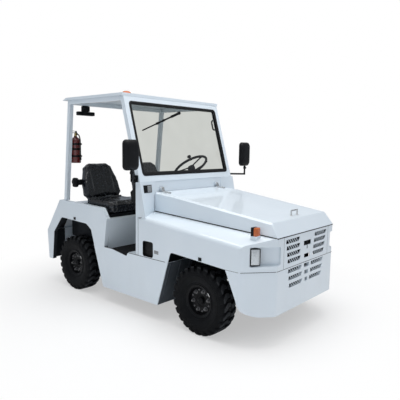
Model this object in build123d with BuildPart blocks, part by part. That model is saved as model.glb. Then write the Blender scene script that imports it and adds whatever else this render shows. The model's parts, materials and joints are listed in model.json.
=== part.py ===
import os
from math import asin, atan2, cos, degrees, hypot, radians, sin, tan

from build123d import *

# Airport baggage tug, millimetres. +X forward, +Y to the driver's left, +Z up, ground at Z = 0.
# The origin is on the ground at the middle of the length and width.
# Stations named _u are distances forward of the rear axle.

# Overall sizes
wheelbase = 1640
front_overhang = 566
rear_overhang = 560
body_half_width = 646
mirror_half_width = 852
length_overall = rear_overhang + wheelbase + front_overhang
front_x = length_overall / 2
front_axle_x = front_x - front_overhang
rear_axle_x = front_axle_x - wheelbase
face_u = wheelbase + front_overhang

# Clearances
seat_gap = 0.3
panel_gap = 3
pivot_gap = 0.5
over = 2

# Thicknesses
sheet = 5
deck_sheet = 8
floor_plate_thick = 10
mat_thick = 6
heavy_plate = 25
wall = 40

# Wheels
tyre_radius = 270
tyre_width = 150
rim_radius = 114
rim_flange_radius = 130
wheel_plane_y = 567
king_pin_y = 455
axle_z = tyre_radius

# Levels of the body
skirt_bottom_z = 135
floor_z = 484
body_seam_z = 516
bumper_bottom_z = 243
bumper_seam_z = 572
deck_z = 770
rear_deck_z = 850
hood_seam_rear_z = 874
hood_seam_front_z = 810
shoulder_rear_z = 861
shoulder_front_z = 742
hood_top_rear_z = 1045
hood_top_mid_z = 1028
hood_top_front_z = 912
cowl_top_z = 1140
glass_bottom_z = 1195
glass_top_z = 1821
roof_bottom_z = 1868

# Stations along the body, the front ones tied to the front axle and the face
front_body_rear_u = wheelbase - 671
hood_mid_u = front_body_rear_u + 241
hood_bevel_u = face_u - 66
corner_start_u = face_u - 176
corner_face_y = 440
nose_corner_radius = 50
grille_half_width = 350
hood_half_width = 455
arch_rear_top_u = wheelbase - 288
arch_rear_low_u = arch_rear_top_u - 30
arch_front_u = wheelbase + 263
arch_top_z = 606
arch_round = 30
cowl_front_u = front_body_rear_u - panel_gap
cowl_rear_u = cowl_front_u - 36
deck_front_low_u = 497
deck_front_top_u = 530

# Frame rails
rail_y = 260
rail_width = 60
rail_height = 100
rail_top_z = floor_z - floor_plate_thick - seat_gap
rail_bottom_z = rail_top_z - rail_height
bumper_inner_u = face_u - heavy_plate
tail_inner_u = 130 - rear_overhang

os.makedirs("parts", exist_ok=True)


def x_at(u):
    """X of a station given in millimetres forward of the rear axle."""
    return rear_axle_x + u


def between(u0, z0, u1, z1, u):
    """Height at station u on the straight line through two (station, height) points."""
    return z0 + (z1 - z0) * (u - u0) / (u1 - u0)


def save(part, name):
    part.label = name
    export_step(part, f"parts/{name}.step")


def side_solid(outline, y_low, y_high):
    """A side view carried from y_low to y_high. A corner is (station, height), or has its radius as well."""
    with BuildPart() as solid:
        with BuildSketch(Plane.XZ.offset(-y_high)) as sketch:
            with BuildLine():
                Polyline([(x_at(corner[0]), corner[1]) for corner in outline], close=True)
            make_face()
            for corner in outline:
                if len(corner) == 3:
                    sharp = sketch.vertices().sort_by_distance((x_at(corner[0]), corner[1]))[0]
                    fillet(sharp, corner[2])
        extrude(amount=y_high - y_low)
    return solid.part


def block(u0, u1, y0, y1, z0, z1):
    """A box between two stations, two widths and two heights."""
    with BuildPart() as solid:
        with Locations((x_at((u0 + u1) / 2), (y0 + y1) / 2, (z0 + z1) / 2)):
            Box(abs(u1 - u0), abs(y1 - y0), abs(z1 - z0))
    return solid.part


def plan_solid(points, z_low, z_high):
    """A plan outline of (X, Y) points carried between two heights."""
    with BuildPart() as solid:
        with BuildSketch(Plane.XY.offset(z_low)):
            with BuildLine():
                Polyline(points, close=True)
            make_face()
        extrude(amount=z_high - z_low)
    return solid.part


def turned(plane, sections, sides):
    """A solid with an even number of flat sides about the plane's normal, through (distance, radius) sections.

    It is what a slab with the sections' outline leaves when it is turned from side to side and intersected.
    """
    outline = [(distance, radius * cos(radians(180 / sides))) for distance, radius in sorted(sections)]
    outline += [(distance, -reach) for distance, reach in reversed(outline)]
    widest = max(radius for distance, radius in sections)
    with BuildPart() as solid:
        for step in range(sides // 2):
            angle = radians(360 / sides * (step + 0.5))
            across = plane.y_dir * cos(angle) - plane.x_dir * sin(angle)
            with BuildSketch(Plane(origin=plane.origin, x_dir=plane.z_dir, z_dir=across)):
                with BuildLine():
                    Polyline(outline, close=True)
                make_face()
            extrude(amount=widest, both=True, mode=Mode.INTERSECT if step else Mode.ADD)
    return solid.part


def bar(points, radius, sides):
    """A many-sided bar along straight runs with mitred bends."""
    with BuildPart() as solid:
        with BuildLine() as route:
            Polyline(*points)
        with BuildSketch(Plane(origin=route.line @ 0, z_dir=route.line % 0)):
            RegularPolygon(radius, sides)
        sweep(path=route.line, transition=Transition.RIGHT)
    return solid.part


def lying(x, y, z):
    """A plane at a point, facing +Y, for things that turn about a line across the body."""
    return Plane(origin=(x, y, z), x_dir=(1, 0, 0), z_dir=(0, 1, 0))


def cross_cylinder(x, z, radius, y0, y1):
    """A cylinder lying across the body between two widths."""
    with BuildPart() as solid:
        with BuildSketch(lying(x, min(y0, y1), z)):
            Circle(radius)
        extrude(amount=abs(y1 - y0))
    return solid.part


# Chassis frame: two box rails, cross members and outriggers for the side skirts
cross_member_length = 80
inner_cross_members = (50 + tail_inner_u, bumper_inner_u - 131)
outrigger_length = 60
outrigger_stations = (deck_front_low_u - 77, front_body_rear_u + 41)
with BuildPart() as chassis_frame:
    for side in (1, -1):
        rail_mid = side * rail_y
        add(block(tail_inner_u + seat_gap, bumper_inner_u - seat_gap, rail_mid - rail_width / 2,
                  rail_mid + rail_width / 2, rail_bottom_z, rail_top_z))
    for u in inner_cross_members:
        add(block(u, u + cross_member_length, -rail_y, rail_y, rail_bottom_z + 10, rail_top_z - 10))
    for u in outrigger_stations:
        reach = body_half_width - sheet - seat_gap
        add(block(u, u + outrigger_length, -reach, reach, rail_bottom_z + 10, rail_top_z - 30))
save(chassis_frame.part, "chassis_frame")


# Tyres: two many-sided halves half a pitch apart, each flat with its block of tread, made at the origin about Y
half_tyre = tyre_width / 2
bead_half = half_tyre - 18
wheel_sides = 24
tread_depth = 16
tread_half = half_tyre - 24
sidewall_radius = tyre_radius - 55
lug_width = 38
lug_slant = 16
lug_inner_y = 5
lug_middle_y = 38
lug_shoulder_y = 54
lug_outer_y = 70
lug_outer_drop = 50
lug_root = 8
lug_reach = lug_width / 2 * cos(radians(lug_slant)) + (lug_middle_y - lug_inner_y) * sin(radians(lug_slant))
lug_top = (tyre_radius ** 2 - lug_reach ** 2) ** 0.5
pitch_angle = 360 / wheel_sides
origin_plane = lying(0, 0, 0)
with BuildPart() as lug:
    with BuildSketch(Plane.YZ.offset(-lug_width / 2)):
        with BuildLine():
            Polyline(
                (lug_inner_y - lug_middle_y, tyre_radius - tread_depth - lug_root),
                (lug_inner_y - lug_middle_y, lug_top),
                (lug_shoulder_y - lug_middle_y, lug_top),
                (lug_outer_y - lug_middle_y, lug_top - lug_outer_drop),
                close=True,
            )
        make_face()
    extrude(amount=lug_width)
lug_places = []
with BuildPart() as tyre_blank:
    for side, half_turn, start in ((1, 0, pitch_angle / 2), (-1, 180, 0)):
        half_plane = Plane(origin=(0, 0, 0), x_dir=(cos(radians(start)), 0, -sin(radians(start))), z_dir=(0, 1, 0))
        add(turned(half_plane, [
            (0, tyre_radius - tread_depth),
            (side * tread_half, tyre_radius - tread_depth),
            (side * half_tyre, sidewall_radius),
        ], wheel_sides))
        for step in range(wheel_sides):
            round_axle = Rotation(0, start + pitch_angle * (step + 0.5), 0)
            lug_places.append(round_axle * Location((0, side * lug_middle_y, 0), (0, 0, lug_slant + half_turn)))
    with Locations(*lug_places):
        add(lug.part)
    for side in (1, -1):
        recess = [(side * (bead_half - seat_gap), rim_flange_radius + seat_gap), (side * half_tyre, sidewall_radius)]
        add(turned(origin_plane, recess, wheel_sides), mode=Mode.SUBTRACT)
    bore = [(-half_tyre, rim_radius + seat_gap), (half_tyre, rim_radius + seat_gap)]
    add(turned(origin_plane, bore, wheel_sides), mode=Mode.SUBTRACT)

# Rims: a many-sided barrel with a flange at each edge and a disc with a round bore for the hub
rim_wall = 6
rim_edge = bead_half + 6
disc_offset = 24
disc_thick = 10
hub_bore_radius = 30
rim_well_radius = rim_radius - rim_wall
with BuildPart() as rim_blank:
    add(turned(origin_plane, [(-bead_half, rim_radius), (bead_half, rim_radius)], wheel_sides))
    for side in (1, -1):
        flange = [(side * bead_half, rim_flange_radius), (side * rim_edge, rim_flange_radius)]
        add(turned(origin_plane, flange, wheel_sides))
    outer_well = [(disc_offset, rim_well_radius - 12), (disc_offset + 14, rim_well_radius),
                  (rim_edge + over, rim_well_radius)]
    inner_well = [(disc_offset - disc_thick, rim_well_radius), (-rim_edge - over, rim_well_radius)]
    add(turned(origin_plane, outer_well, wheel_sides), mode=Mode.SUBTRACT)
    add(turned(origin_plane, inner_well, wheel_sides), mode=Mode.SUBTRACT)
    add(cross_cylinder(0, 0, hub_bore_radius, -rim_edge, rim_edge), mode=Mode.SUBTRACT)

# A corner of the tread points straight down, so that the tyre stands on the ground
stand_turn = degrees(asin(lug_reach / tyre_radius))
for axle_name, axle_x in (("front", front_axle_x), ("rear", rear_axle_x)):
    for side_name, side, half_turn in (("left", 1, 0), ("right", -1, 180)):
        place = Location((axle_x, side * wheel_plane_y, axle_z), (0, 0, half_turn)) * Rotation(0, stand_turn, 0)
        save(tyre_blank.part.moved(place), f"tyre_{axle_name}_{side_name}")
        save(rim_blank.part.moved(place), f"rim_{axle_name}_{side_name}")

# Front axle: a beam whose forked ends carry the king pins
beam_height = 80
beam_depth = 70
fork_height = 150
fork_gap = 90
fork_web = 40
fork_throat = 95
fork_plate = (fork_height - fork_gap) / 2
with BuildPart() as front_axle_beam:
    beam_end_y = king_pin_y - fork_throat
    with Locations((front_axle_x, 0, axle_z)):
        Box(beam_depth, 2 * beam_end_y, beam_height)
    for side in (1, -1):
        with Locations((front_axle_x, side * beam_end_y, axle_z)):
            Box(beam_depth, fork_web, fork_height)
        for up in (1, -1):
            fork_z = axle_z + up * (fork_gap + fork_plate) / 2
            with Locations((front_axle_x, side * (king_pin_y + beam_end_y) / 2, fork_z)):
                Box(beam_depth, king_pin_y - beam_end_y, fork_plate)
            with Locations((front_axle_x, side * king_pin_y, fork_z)):
                Cylinder(beam_depth / 2, fork_plate)
save(front_axle_beam.part, "front_axle_beam")

# Steering knuckles: a barrel in the fork, the hub out to the rim's disc and the steering arm behind
knuckle_radius = 32
spindle_radius = 26
hub_radius = 46
hub_seat_y = wheel_plane_y + disc_offset - disc_thick - seat_gap
hub_inner_y = king_pin_y + 45
arm_pin_u = -150
arm_half_width = 18
arm_height = 20
arm_z = axle_z - 20
for side_name, side in (("left", 1), ("right", -1)):
    with BuildPart() as knuckle:
        with Locations((front_axle_x, side * king_pin_y, axle_z)):
            Cylinder(knuckle_radius, fork_gap - 2 * pivot_gap)
        axle_plane = lying(front_axle_x, 0, axle_z)
        add(turned(axle_plane, [(side * king_pin_y, spindle_radius), (side * hub_seat_y, spindle_radius)], 12))
        add(turned(axle_plane, [(side * hub_inner_y, hub_radius), (side * hub_seat_y, hub_radius)], 12))
        arm_tip_x = front_axle_x + arm_pin_u - arm_half_width
        add(plan_solid([
            (front_axle_x, side * (king_pin_y - arm_half_width)),
            (front_axle_x, side * (king_pin_y + arm_half_width)),
            (arm_tip_x, side * (king_pin_y + arm_half_width)),
            (arm_tip_x, side * (king_pin_y - arm_half_width)),
        ], arm_z - arm_height / 2, arm_z + arm_height / 2))
    save(knuckle.part, f"knuckle_{side_name}")

# Tie rod: a bar under the two steering arms with an eye at each end
tie_rod_radius = 13
tie_rod_eye_radius = 18
tie_rod_eye_height = 32
tie_rod_z = arm_z - arm_height / 2 - seat_gap - tie_rod_eye_height / 2
with BuildPart() as tie_rod:
    tie_rod_plane = lying(front_axle_x + arm_pin_u, 0, tie_rod_z)
    add(turned(tie_rod_plane, [(-king_pin_y, tie_rod_radius), (king_pin_y, tie_rod_radius)], 10))
    for side in (1, -1):
        with Locations((front_axle_x + arm_pin_u, side * king_pin_y, tie_rod_z)):
            Cylinder(tie_rod_eye_radius, tie_rod_eye_height)
save(tie_rod.part, "tie_rod")

# Rear axle: tube, differential housing and brake drums
axle_tube_radius = 50
drum_radius = 100
drum_inner_y = 462
drum_outer_y = 520
differential_radius = 125
differential_sections = [
    (-2 * axle_tube_radius, axle_tube_radius),
    (-axle_tube_radius, 0.9 * differential_radius),
    (0, differential_radius),
    (axle_tube_radius, 0.9 * differential_radius),
    (2 * axle_tube_radius, axle_tube_radius),
]
with BuildPart() as rear_axle_housing:
    rear_axle_plane = lying(rear_axle_x, 0, axle_z)
    add(turned(rear_axle_plane, [(-hub_seat_y, axle_tube_radius), (hub_seat_y, axle_tube_radius)], 16))
    add(turned(rear_axle_plane, differential_sections, 16))
    for side in (1, -1):
        add(turned(rear_axle_plane, [(side * drum_inner_y, drum_radius), (side * drum_outer_y, drum_radius)], 24))
save(rear_axle_housing.part, "rear_axle_housing")

# Leaf springs: an arched pack on each axle end that meets the rail at both tips
spring_half_length = 320
spring_width = 56
spring_thick = 22
spring_steps = 6


def spring_outline(axle_u, low):
    """Side view of one leaf pack over an axle whose top is at height low."""
    rise = rail_bottom_z - seat_gap - spring_thick - low
    under = []
    for step in range(spring_steps + 1):
        along = 2 * step / spring_steps - 1
        under.append((axle_u + along * spring_half_length, low + rise * along ** 2))
    return under + [(u, z + spring_thick) for u, z in reversed(under)]


with BuildPart() as leaf_springs:
    for axle_u, low in ((wheelbase, axle_z + beam_height / 2), (0, axle_z + axle_tube_radius)):
        for side in (1, -1):
            spring_mid = side * rail_y
            add(side_solid(spring_outline(axle_u, low + seat_gap), spring_mid - spring_width / 2,
                           spring_mid + spring_width / 2))
save(leaf_springs.part, "leaf_springs")

# Engine: one block hung between the rails on four feet, and the radiator standing on the rails before it
engine_rear_u = cowl_front_u + 214
engine_front_u = wheelbase + 210
engine_half_width = 190
engine_bottom_z = 340
engine_top_z = 820
engine_foot_length = 80
engine_foot_height = 30
with BuildPart() as engine_block:
    add(block(engine_rear_u, engine_front_u, -engine_half_width, engine_half_width, engine_bottom_z, engine_top_z))
    for u in (engine_rear_u + 40, engine_front_u - 120):
        foot_low = rail_top_z + seat_gap
        add(block(u, u + engine_foot_length, -rail_y, rail_y, foot_low, foot_low + engine_foot_height))
save(engine_block.part, "engine_block")

radiator_front_u = face_u - 146
radiator_thick = 80
radiator_half_width = 310
radiator_top_z = 790
with BuildPart() as radiator:
    add(block(radiator_front_u - radiator_thick, radiator_front_u, -radiator_half_width, radiator_half_width,
              rail_top_z + seat_gap, radiator_top_z))
save(radiator.part, "radiator")

# Plan of the nose: side, cut corner and face, each moved in by an inset
corner_length = hypot(face_u - corner_start_u, body_half_width - corner_face_y)
corner_side_shift = (corner_length - (body_half_width - corner_face_y)) / (face_u - corner_start_u)
corner_face_shift = (corner_length - (face_u - corner_start_u)) / (body_half_width - corner_face_y)


def nose_solid(inset, rear_u, z_low, z_high):
    """The nose's plan from a rear station round both cut corners, with its corners rounded."""
    half = [
        (x_at(rear_u), -body_half_width + inset),
        (x_at(corner_start_u - inset * corner_side_shift), -body_half_width + inset),
        (x_at(face_u - inset), -corner_face_y + inset * corner_face_shift),
    ]
    with BuildPart() as nose:
        with BuildSketch(Plane.XY.offset(z_low)) as plan:
            with BuildLine():
                Polyline(half + [(x, -y) for x, y in reversed(half)], close=True)
            make_face()
            for side in (1, -1):
                for x, y in half[1:]:
                    fillet(plan.vertices().sort_by_distance((x, side * y))[0], nose_corner_radius - inset)
        extrude(amount=z_high - z_low)
    return nose.part


def slot_cutter(top_z, outer_y, inner_y, height, depth):
    """The openings of one row of slots, one on each side, with the right-hand end of each leaning in."""
    with BuildPart() as cutter:
        with BuildSketch(Plane.YZ.offset(front_x - depth - over)):
            for left, right in ((-outer_y, -inner_y), (inner_y, outer_y)):
                with BuildLine():
                    Polyline(
                        (left, top_z),
                        (right, top_z),
                        (right - slot_end_lean, top_z - height),
                        (left - slot_start_lean, top_z - height),
                        close=True,
                    )
                make_face()
        extrude(amount=depth + 2 * over)
    return cutter.part


# Slots of the grille and of the bumper, and the fins that cross them
slot_height = 31
slot_start_lean = 4
slot_end_lean = 20
fin_width = 9
fin_lean = 15
fin_count = 5
grille_rows = [
    # top height, outer width, inner width, half width of the middle slot
    (785, 320, 120, 0),
    (736, 310, 112, 0),
    (686, 300, 104, 0),
    (636, 290, 96, 46),
]
bumper_rows = [
    (560, 278, 74, 41),
    (504, 268, 67, 29),
    (447, 257, 56, 22),
]
latch_half_width = 57
latch_top_z = 739
latch_height = 37
latch_stem_half = 8
latch_stem_height = 30


def cut_rows(rows, depth):
    """Everything that the rows of slots take out of a plate of that depth at the face."""
    with BuildPart() as rows_cut:
        for top_z, outer_y, inner_y, middle_half in rows:
            add(slot_cutter(top_z, outer_y, inner_y, slot_height, depth))
            if middle_half:
                add(block(face_u - depth - over, face_u + over, -middle_half, middle_half, top_z - slot_height, top_z))
    return rows_cut.part


# Front bumper: a heavy plate round the nose, cut up in a curve to the wheel arch at each side
bumper_tail_u = arch_front_u + 97
bumper_tail_z = 364
bumper_curve_u = face_u - 56
with BuildPart() as front_bumper:
    add(nose_solid(0, arch_front_u, bumper_bottom_z, bumper_seam_z - seat_gap))
    add(nose_solid(heavy_plate, arch_front_u - over, bumper_bottom_z - over, bumper_seam_z + over), mode=Mode.SUBTRACT)
    add(cut_rows(bumper_rows, heavy_plate), mode=Mode.SUBTRACT)
    with BuildSketch(Plane.XZ.offset(-body_half_width - over)):
        tail = (x_at(bumper_tail_u), bumper_tail_z)
        low = (x_at(bumper_curve_u), bumper_bottom_z)
        with BuildLine():
            TangentArc(low, tail, tangent=(-1, 0))
            Polyline(
                tail,
                (x_at(arch_front_u), bumper_seam_z),
                (x_at(face_u + over), bumper_seam_z),
                (x_at(face_u + over), bumper_bottom_z),
                low,
            )
        make_face()
    extrude(amount=2 * (body_half_width + over), mode=Mode.INTERSECT)
save(front_bumper.part, "front_bumper")


def seam_z(u):
    """Height of the hood's side seam."""
    return between(front_body_rear_u, hood_seam_rear_z, face_u, hood_seam_front_z, u)


def shoulder_z(u):
    """Height of the shoulder's outer edge."""
    return between(front_body_rear_u, shoulder_rear_z, face_u, shoulder_front_z, u)


# Front fenders: side panel, shoulder up to the hood and cut corner with the lamp pocket, open to the wheel arch
shoulder_round = 45
shoulder_steps = 5
fender_inner_y = hood_half_width - 25
pocket_rear_u = face_u - 131
pocket_turn_y = 515
pocket_outer_y = 600
pocket_inner_y = 392
pocket_slope_end_u = face_u - 16
pocket_low_z = 612
pocket_high_z = 752
pocket_round = 18


def rounded_corner(corner, after, radius):
    """Points round a section's corner, from its upright side to the slope towards the point after it."""
    slope = atan2(after[1] - corner[1], after[0] - corner[0])
    turn = radians(90) - slope
    reach = radius * tan(turn / 2)
    middle = (corner[0] + radius, corner[1] - reach)
    steps = [turn * step / shoulder_steps for step in range(shoulder_steps + 1)]
    return [(middle[0] - radius * cos(angle), middle[1] + radius * sin(angle)) for angle in steps]


def fender_core(inset, rear_u, inner_y, bottom_z):
    """The space under the right fender's outer faces when they are moved in by inset."""
    outer_y = -body_half_width + inset
    with BuildPart() as core:
        for u in (rear_u, face_u):
            with BuildSketch(Plane.YZ.offset(x_at(u))):
                shoulder = (outer_y, shoulder_z(u) - inset)
                seam = (-hood_half_width, seam_z(u) - inset - seat_gap)
                rounded = rounded_corner(shoulder, seam, shoulder_round - inset)
                with BuildLine():
                    Polyline(
                        (outer_y - over, bottom_z),
                        (outer_y - over, rounded[0][1]),
                        *rounded,
                        seam,
                        (-inner_y, seam[1]),
                        (-inner_y, bottom_z),
                        close=True,
                    )
                make_face()
        loft(ruled=True)
        add(nose_solid(inset, rear_u - over, bottom_z - over, cowl_top_z), mode=Mode.INTERSECT)
    return core.part


def lamp_pocket(extra):
    """The right lamp pocket's space, its walls moved out by extra."""
    with BuildPart() as pocket:
        with BuildSketch(Plane.YZ.offset(x_at(pocket_rear_u - extra))):
            with Locations((-(pocket_outer_y + pocket_inner_y) / 2, (pocket_low_z + pocket_high_z) / 2)):
                RectangleRounded(
                    pocket_outer_y - pocket_inner_y + 2 * extra,
                    pocket_high_z - pocket_low_z + 2 * extra,
                    pocket_round + extra,
                )
        extrude(amount=face_u + over - pocket_rear_u + extra)
        add(plan_solid([
            (x_at(pocket_rear_u - extra), -pocket_outer_y - extra),
            (x_at(pocket_rear_u - extra), -pocket_turn_y + extra),
            (x_at(pocket_slope_end_u - extra), -pocket_inner_y + extra),
            (x_at(face_u + over), -pocket_inner_y + extra),
            (x_at(face_u + over), -pocket_outer_y - extra),
        ], pocket_low_z - extra, pocket_high_z + extra), mode=Mode.INTERSECT)
    return pocket.part


arch_outline = [
    (arch_rear_low_u, body_seam_z - over),
    (arch_rear_top_u, arch_top_z, arch_round),
    (arch_front_u, bumper_seam_z + seat_gap),
    (face_u + over, bumper_seam_z + seat_gap),
    (face_u + over, body_seam_z - over),
]
hatch_rear_u = front_body_rear_u + 56
hatch_front_u = hatch_rear_u + 125
hatch_low_z = body_seam_z + 8
hatch_high_z = hatch_low_z + 130
hatch_round = 20
with BuildPart() as front_fenders:
    add(fender_core(0, front_body_rear_u, fender_inner_y, body_seam_z + seat_gap))
    add(fender_core(sheet, front_body_rear_u - over, fender_inner_y - over, body_seam_z - over), mode=Mode.SUBTRACT)
    add(block(face_u - sheet, face_u, -fender_inner_y - over, -grille_half_width, bumper_seam_z,
              hood_seam_front_z - over))
    with BuildPart(mode=Mode.PRIVATE) as liner:
        add(lamp_pocket(sheet))
        add(nose_solid(0, front_body_rear_u, bumper_seam_z, hood_seam_rear_z), mode=Mode.INTERSECT)
    add(liner.part)
    add(lamp_pocket(0), mode=Mode.SUBTRACT)
    add(side_solid(arch_outline, -body_half_width - over, -grille_half_width + over), mode=Mode.SUBTRACT)
    mirror(about=Plane.XZ)
    add(side_solid([
        (hatch_rear_u, hatch_low_z, hatch_round),
        (hatch_rear_u, hatch_high_z, hatch_round),
        (hatch_front_u, hatch_high_z, hatch_round),
        (hatch_front_u, hatch_low_z, hatch_round),
    ], -body_half_width - over, -body_half_width + sheet + over), mode=Mode.SUBTRACT)
save(front_fenders.part, "front_fenders")

# Wheel housings: a sheet over each front wheel along the arch, with a wall on its inner side
housing_inner_y = 300
housing_wall_low_z = rail_top_z + seat_gap
with BuildPart() as wheel_housings:
    inside_y = -body_half_width + sheet + seat_gap
    add(side_solid([
        (arch_rear_low_u - sheet, body_seam_z),
        (arch_rear_top_u - sheet, arch_top_z + sheet, arch_round + sheet),
        (arch_front_u, bumper_seam_z + seat_gap + sheet),
        (arch_front_u, bumper_seam_z + seat_gap),
        (arch_rear_top_u, arch_top_z, arch_round),
        (arch_rear_low_u, body_seam_z),
    ], inside_y, -housing_inner_y))
    add(side_solid([
        (arch_rear_low_u, housing_wall_low_z),
        (arch_rear_low_u, body_seam_z),
        (arch_rear_top_u, arch_top_z, arch_round),
        (arch_front_u, bumper_seam_z + seat_gap),
        (arch_front_u, housing_wall_low_z),
    ], -housing_inner_y - sheet, -housing_inner_y))
    mirror(about=Plane.XZ)
save(wheel_housings.part, "wheel_housings")

# Grille panel between the fenders, with its slots and the opening over the hood's latch
with BuildPart() as grille_panel:
    grille_edge_y = grille_half_width - seat_gap
    add(block(face_u - sheet, face_u, -grille_edge_y, grille_edge_y, bumper_seam_z + seat_gap,
              hood_seam_front_z - panel_gap))
    add(cut_rows(grille_rows, sheet), mode=Mode.SUBTRACT)
    latch_low_z = latch_top_z - latch_height
    add(block(face_u - sheet - over, face_u + over, -latch_half_width, latch_half_width, latch_low_z, latch_top_z),
        mode=Mode.SUBTRACT)
    add(block(face_u - sheet - over, face_u + over, -latch_stem_half, latch_stem_half,
              latch_low_z - latch_stem_height, latch_low_z + over), mode=Mode.SUBTRACT)
save(grille_panel.part, "grille_panel")

# Fins: slanted bars that stand in the slots
fin_back = 1
fin_depth = 4
with BuildPart() as grille_fins:
    for top_z, outer_y, inner_y, middle_half in grille_rows + bumper_rows:
        with BuildSketch(Plane.YZ.offset(front_x - fin_back - fin_depth)):
            pitch = (outer_y - inner_y - slot_end_lean) / (fin_count + 1)
            high = top_z - seat_gap
            low = top_z - slot_height + seat_gap
            for start in (-outer_y, inner_y):
                for count in range(fin_count):
                    middle = start + slot_end_lean / 4 + pitch * (count + 1)
                    with BuildLine():
                        Polyline(
                            (middle - fin_lean - fin_width / 2, high),
                            (middle - fin_lean + fin_width / 2, high),
                            (middle + fin_lean + fin_width / 2, low),
                            (middle + fin_lean - fin_width / 2, low),
                            close=True,
                        )
                    make_face()
        extrude(amount=fin_depth)
save(grille_fins.part, "grille_fins")

# Hood: a folded shell with a raised rear, a long slope and a bevelled nose
hood_rear_u = front_body_rear_u + 2
hood_bevel_half = 420
hood_edge = 14
hood_nose_edge = 1
hood_sections = [
    # station, half width at the seam, half width at the top, top height, cut of the top edges
    (hood_rear_u, hood_half_width, hood_half_width, hood_top_rear_z, hood_edge),
    (hood_mid_u, hood_half_width, hood_half_width, hood_top_mid_z, hood_edge),
    (hood_bevel_u, hood_half_width, hood_bevel_half, hood_top_front_z, hood_edge),
    (face_u, corner_face_y, corner_face_y, hood_seam_front_z + 3 * hood_nose_edge, hood_nose_edge),
]
hood_inner_sections = [
    # the same columns, moved in by the sheet
    (hood_rear_u + sheet, hood_half_width - sheet, hood_half_width - sheet, hood_top_rear_z - sheet, hood_edge),
    (hood_mid_u, hood_half_width - sheet, hood_half_width - sheet, hood_top_mid_z - sheet, hood_edge),
    (hood_bevel_u - sheet / 2, hood_half_width - sheet, hood_bevel_half - sheet, hood_top_front_z - sheet, hood_edge),
    (face_u - sheet, corner_face_y - sheet, corner_face_y - sheet, hood_seam_front_z - hood_nose_edge, hood_nose_edge),
]


def hood_core(sections, inset, drop):
    """The space under rows of hood sections, carried down by drop and kept inside the nose's plan."""
    with BuildPart() as core:
        for u, low_half, top_half, top_z, cut in sections:
            low_z = seam_z(u) + seat_gap - drop
            with BuildSketch(Plane.YZ.offset(x_at(u))):
                with BuildLine():
                    Polyline(
                        (-low_half, low_z),
                        (-top_half, top_z - cut),
                        (cut - top_half, top_z),
                        (top_half - cut, top_z),
                        (top_half, top_z - cut),
                        (low_half, low_z),
                        close=True,
                    )
                make_face()
        loft(ruled=True)
        add(nose_solid(inset, hood_rear_u - over, shoulder_front_z - drop, cowl_top_z), mode=Mode.INTERSECT)
    return core.part


with BuildPart() as hood:
    add(hood_core(hood_sections, 0, 0))
    add(hood_core(hood_inner_sections, sheet, 60), mode=Mode.SUBTRACT)
save(hood.part, "hood")


def hood_top_z(u):
    """Height of the hood's top surface."""
    if u < hood_mid_u:
        return between(hood_rear_u, hood_top_rear_z, hood_mid_u, hood_top_mid_z, u)
    return between(hood_mid_u, hood_top_mid_z, hood_bevel_u, hood_top_front_z, u)


# Hood fittings: the straps that reach back to the cowl's hinges, and the lifting handle on the nose
hinge_y = 380
hinge_u = cowl_front_u + 18
hinge_z = 1078
hinge_barrel_radius = 10
hinge_pin_radius = 4
hinge_pin_gap = 0.1
hinge_ear_thick = 6
hinge_side_gap = 1
strap_width = 30
strap_bend = 22
strap_length = 110
strap_thick = 8
handle_u = hood_bevel_u - 60
handle_half = 45
handle_rise = 40
handle_bar = 6
with BuildPart() as hood_fittings:
    for side in (1, -1):
        y0 = side * hinge_y - strap_width / 2
        y1 = side * hinge_y + strap_width / 2
        strap_end_u = hood_rear_u + strap_length
        strap_bend_u = hood_rear_u + strap_bend
        add(side_solid([
            (strap_bend_u, hood_top_z(strap_bend_u) + seat_gap),
            (strap_end_u, hood_top_z(strap_end_u) + seat_gap),
            (strap_end_u, hood_top_z(strap_end_u) + seat_gap + strap_thick),
            (strap_bend_u + strap_thick, hood_top_z(strap_bend_u) + seat_gap + strap_thick),
            (hinge_u + hinge_barrel_radius, hinge_z),
            (hinge_u, hinge_z - hinge_barrel_radius),
        ], y0, y1))
        add(cross_cylinder(x_at(hinge_u), hinge_z, hinge_barrel_radius, y0, y1))
        add(cross_cylinder(x_at(hinge_u), hinge_z, hinge_pin_radius + hinge_pin_gap, y0 - 1, y1 + 1), mode=Mode.SUBTRACT)
    handle_foot_z = hood_top_z(handle_u) - over
    handle_head_z = hood_top_z(handle_u) + handle_rise
    add(bar([
        (x_at(handle_u), -handle_half, handle_foot_z),
        (x_at(handle_u), -handle_half, handle_head_z),
        (x_at(handle_u), handle_half, handle_head_z),
        (x_at(handle_u), handle_half, handle_foot_z),
    ], handle_bar, 8))
    foot_cut_u = handle_u + 2 * handle_bar
    add(side_solid([
        (handle_u - 2 * handle_bar, hood_top_z(handle_u - 2 * handle_bar) + seat_gap),
        (foot_cut_u, hood_top_z(foot_cut_u) + seat_gap),
        (foot_cut_u, hood_top_z(foot_cut_u) - 4 * over),
        (handle_u - 2 * handle_bar, hood_top_z(foot_cut_u) - 4 * over),
    ], -2 * handle_half, 2 * handle_half), mode=Mode.SUBTRACT)
save(hood_fittings.part, "hood_fittings")

# Cowl: the wall between engine and cab, with a corner piece each side up to the windscreen's foot
cowl_half_width = 640
cowl_corner_gap = 5
cowl_corner_inner_y = hood_half_width + cowl_corner_gap
cowl_corner_foot_u = front_body_rear_u + 81
cowl_corner_head_u = front_body_rear_u + 16
cowl_corner_low_z = shoulder_rear_z - 20


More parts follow.
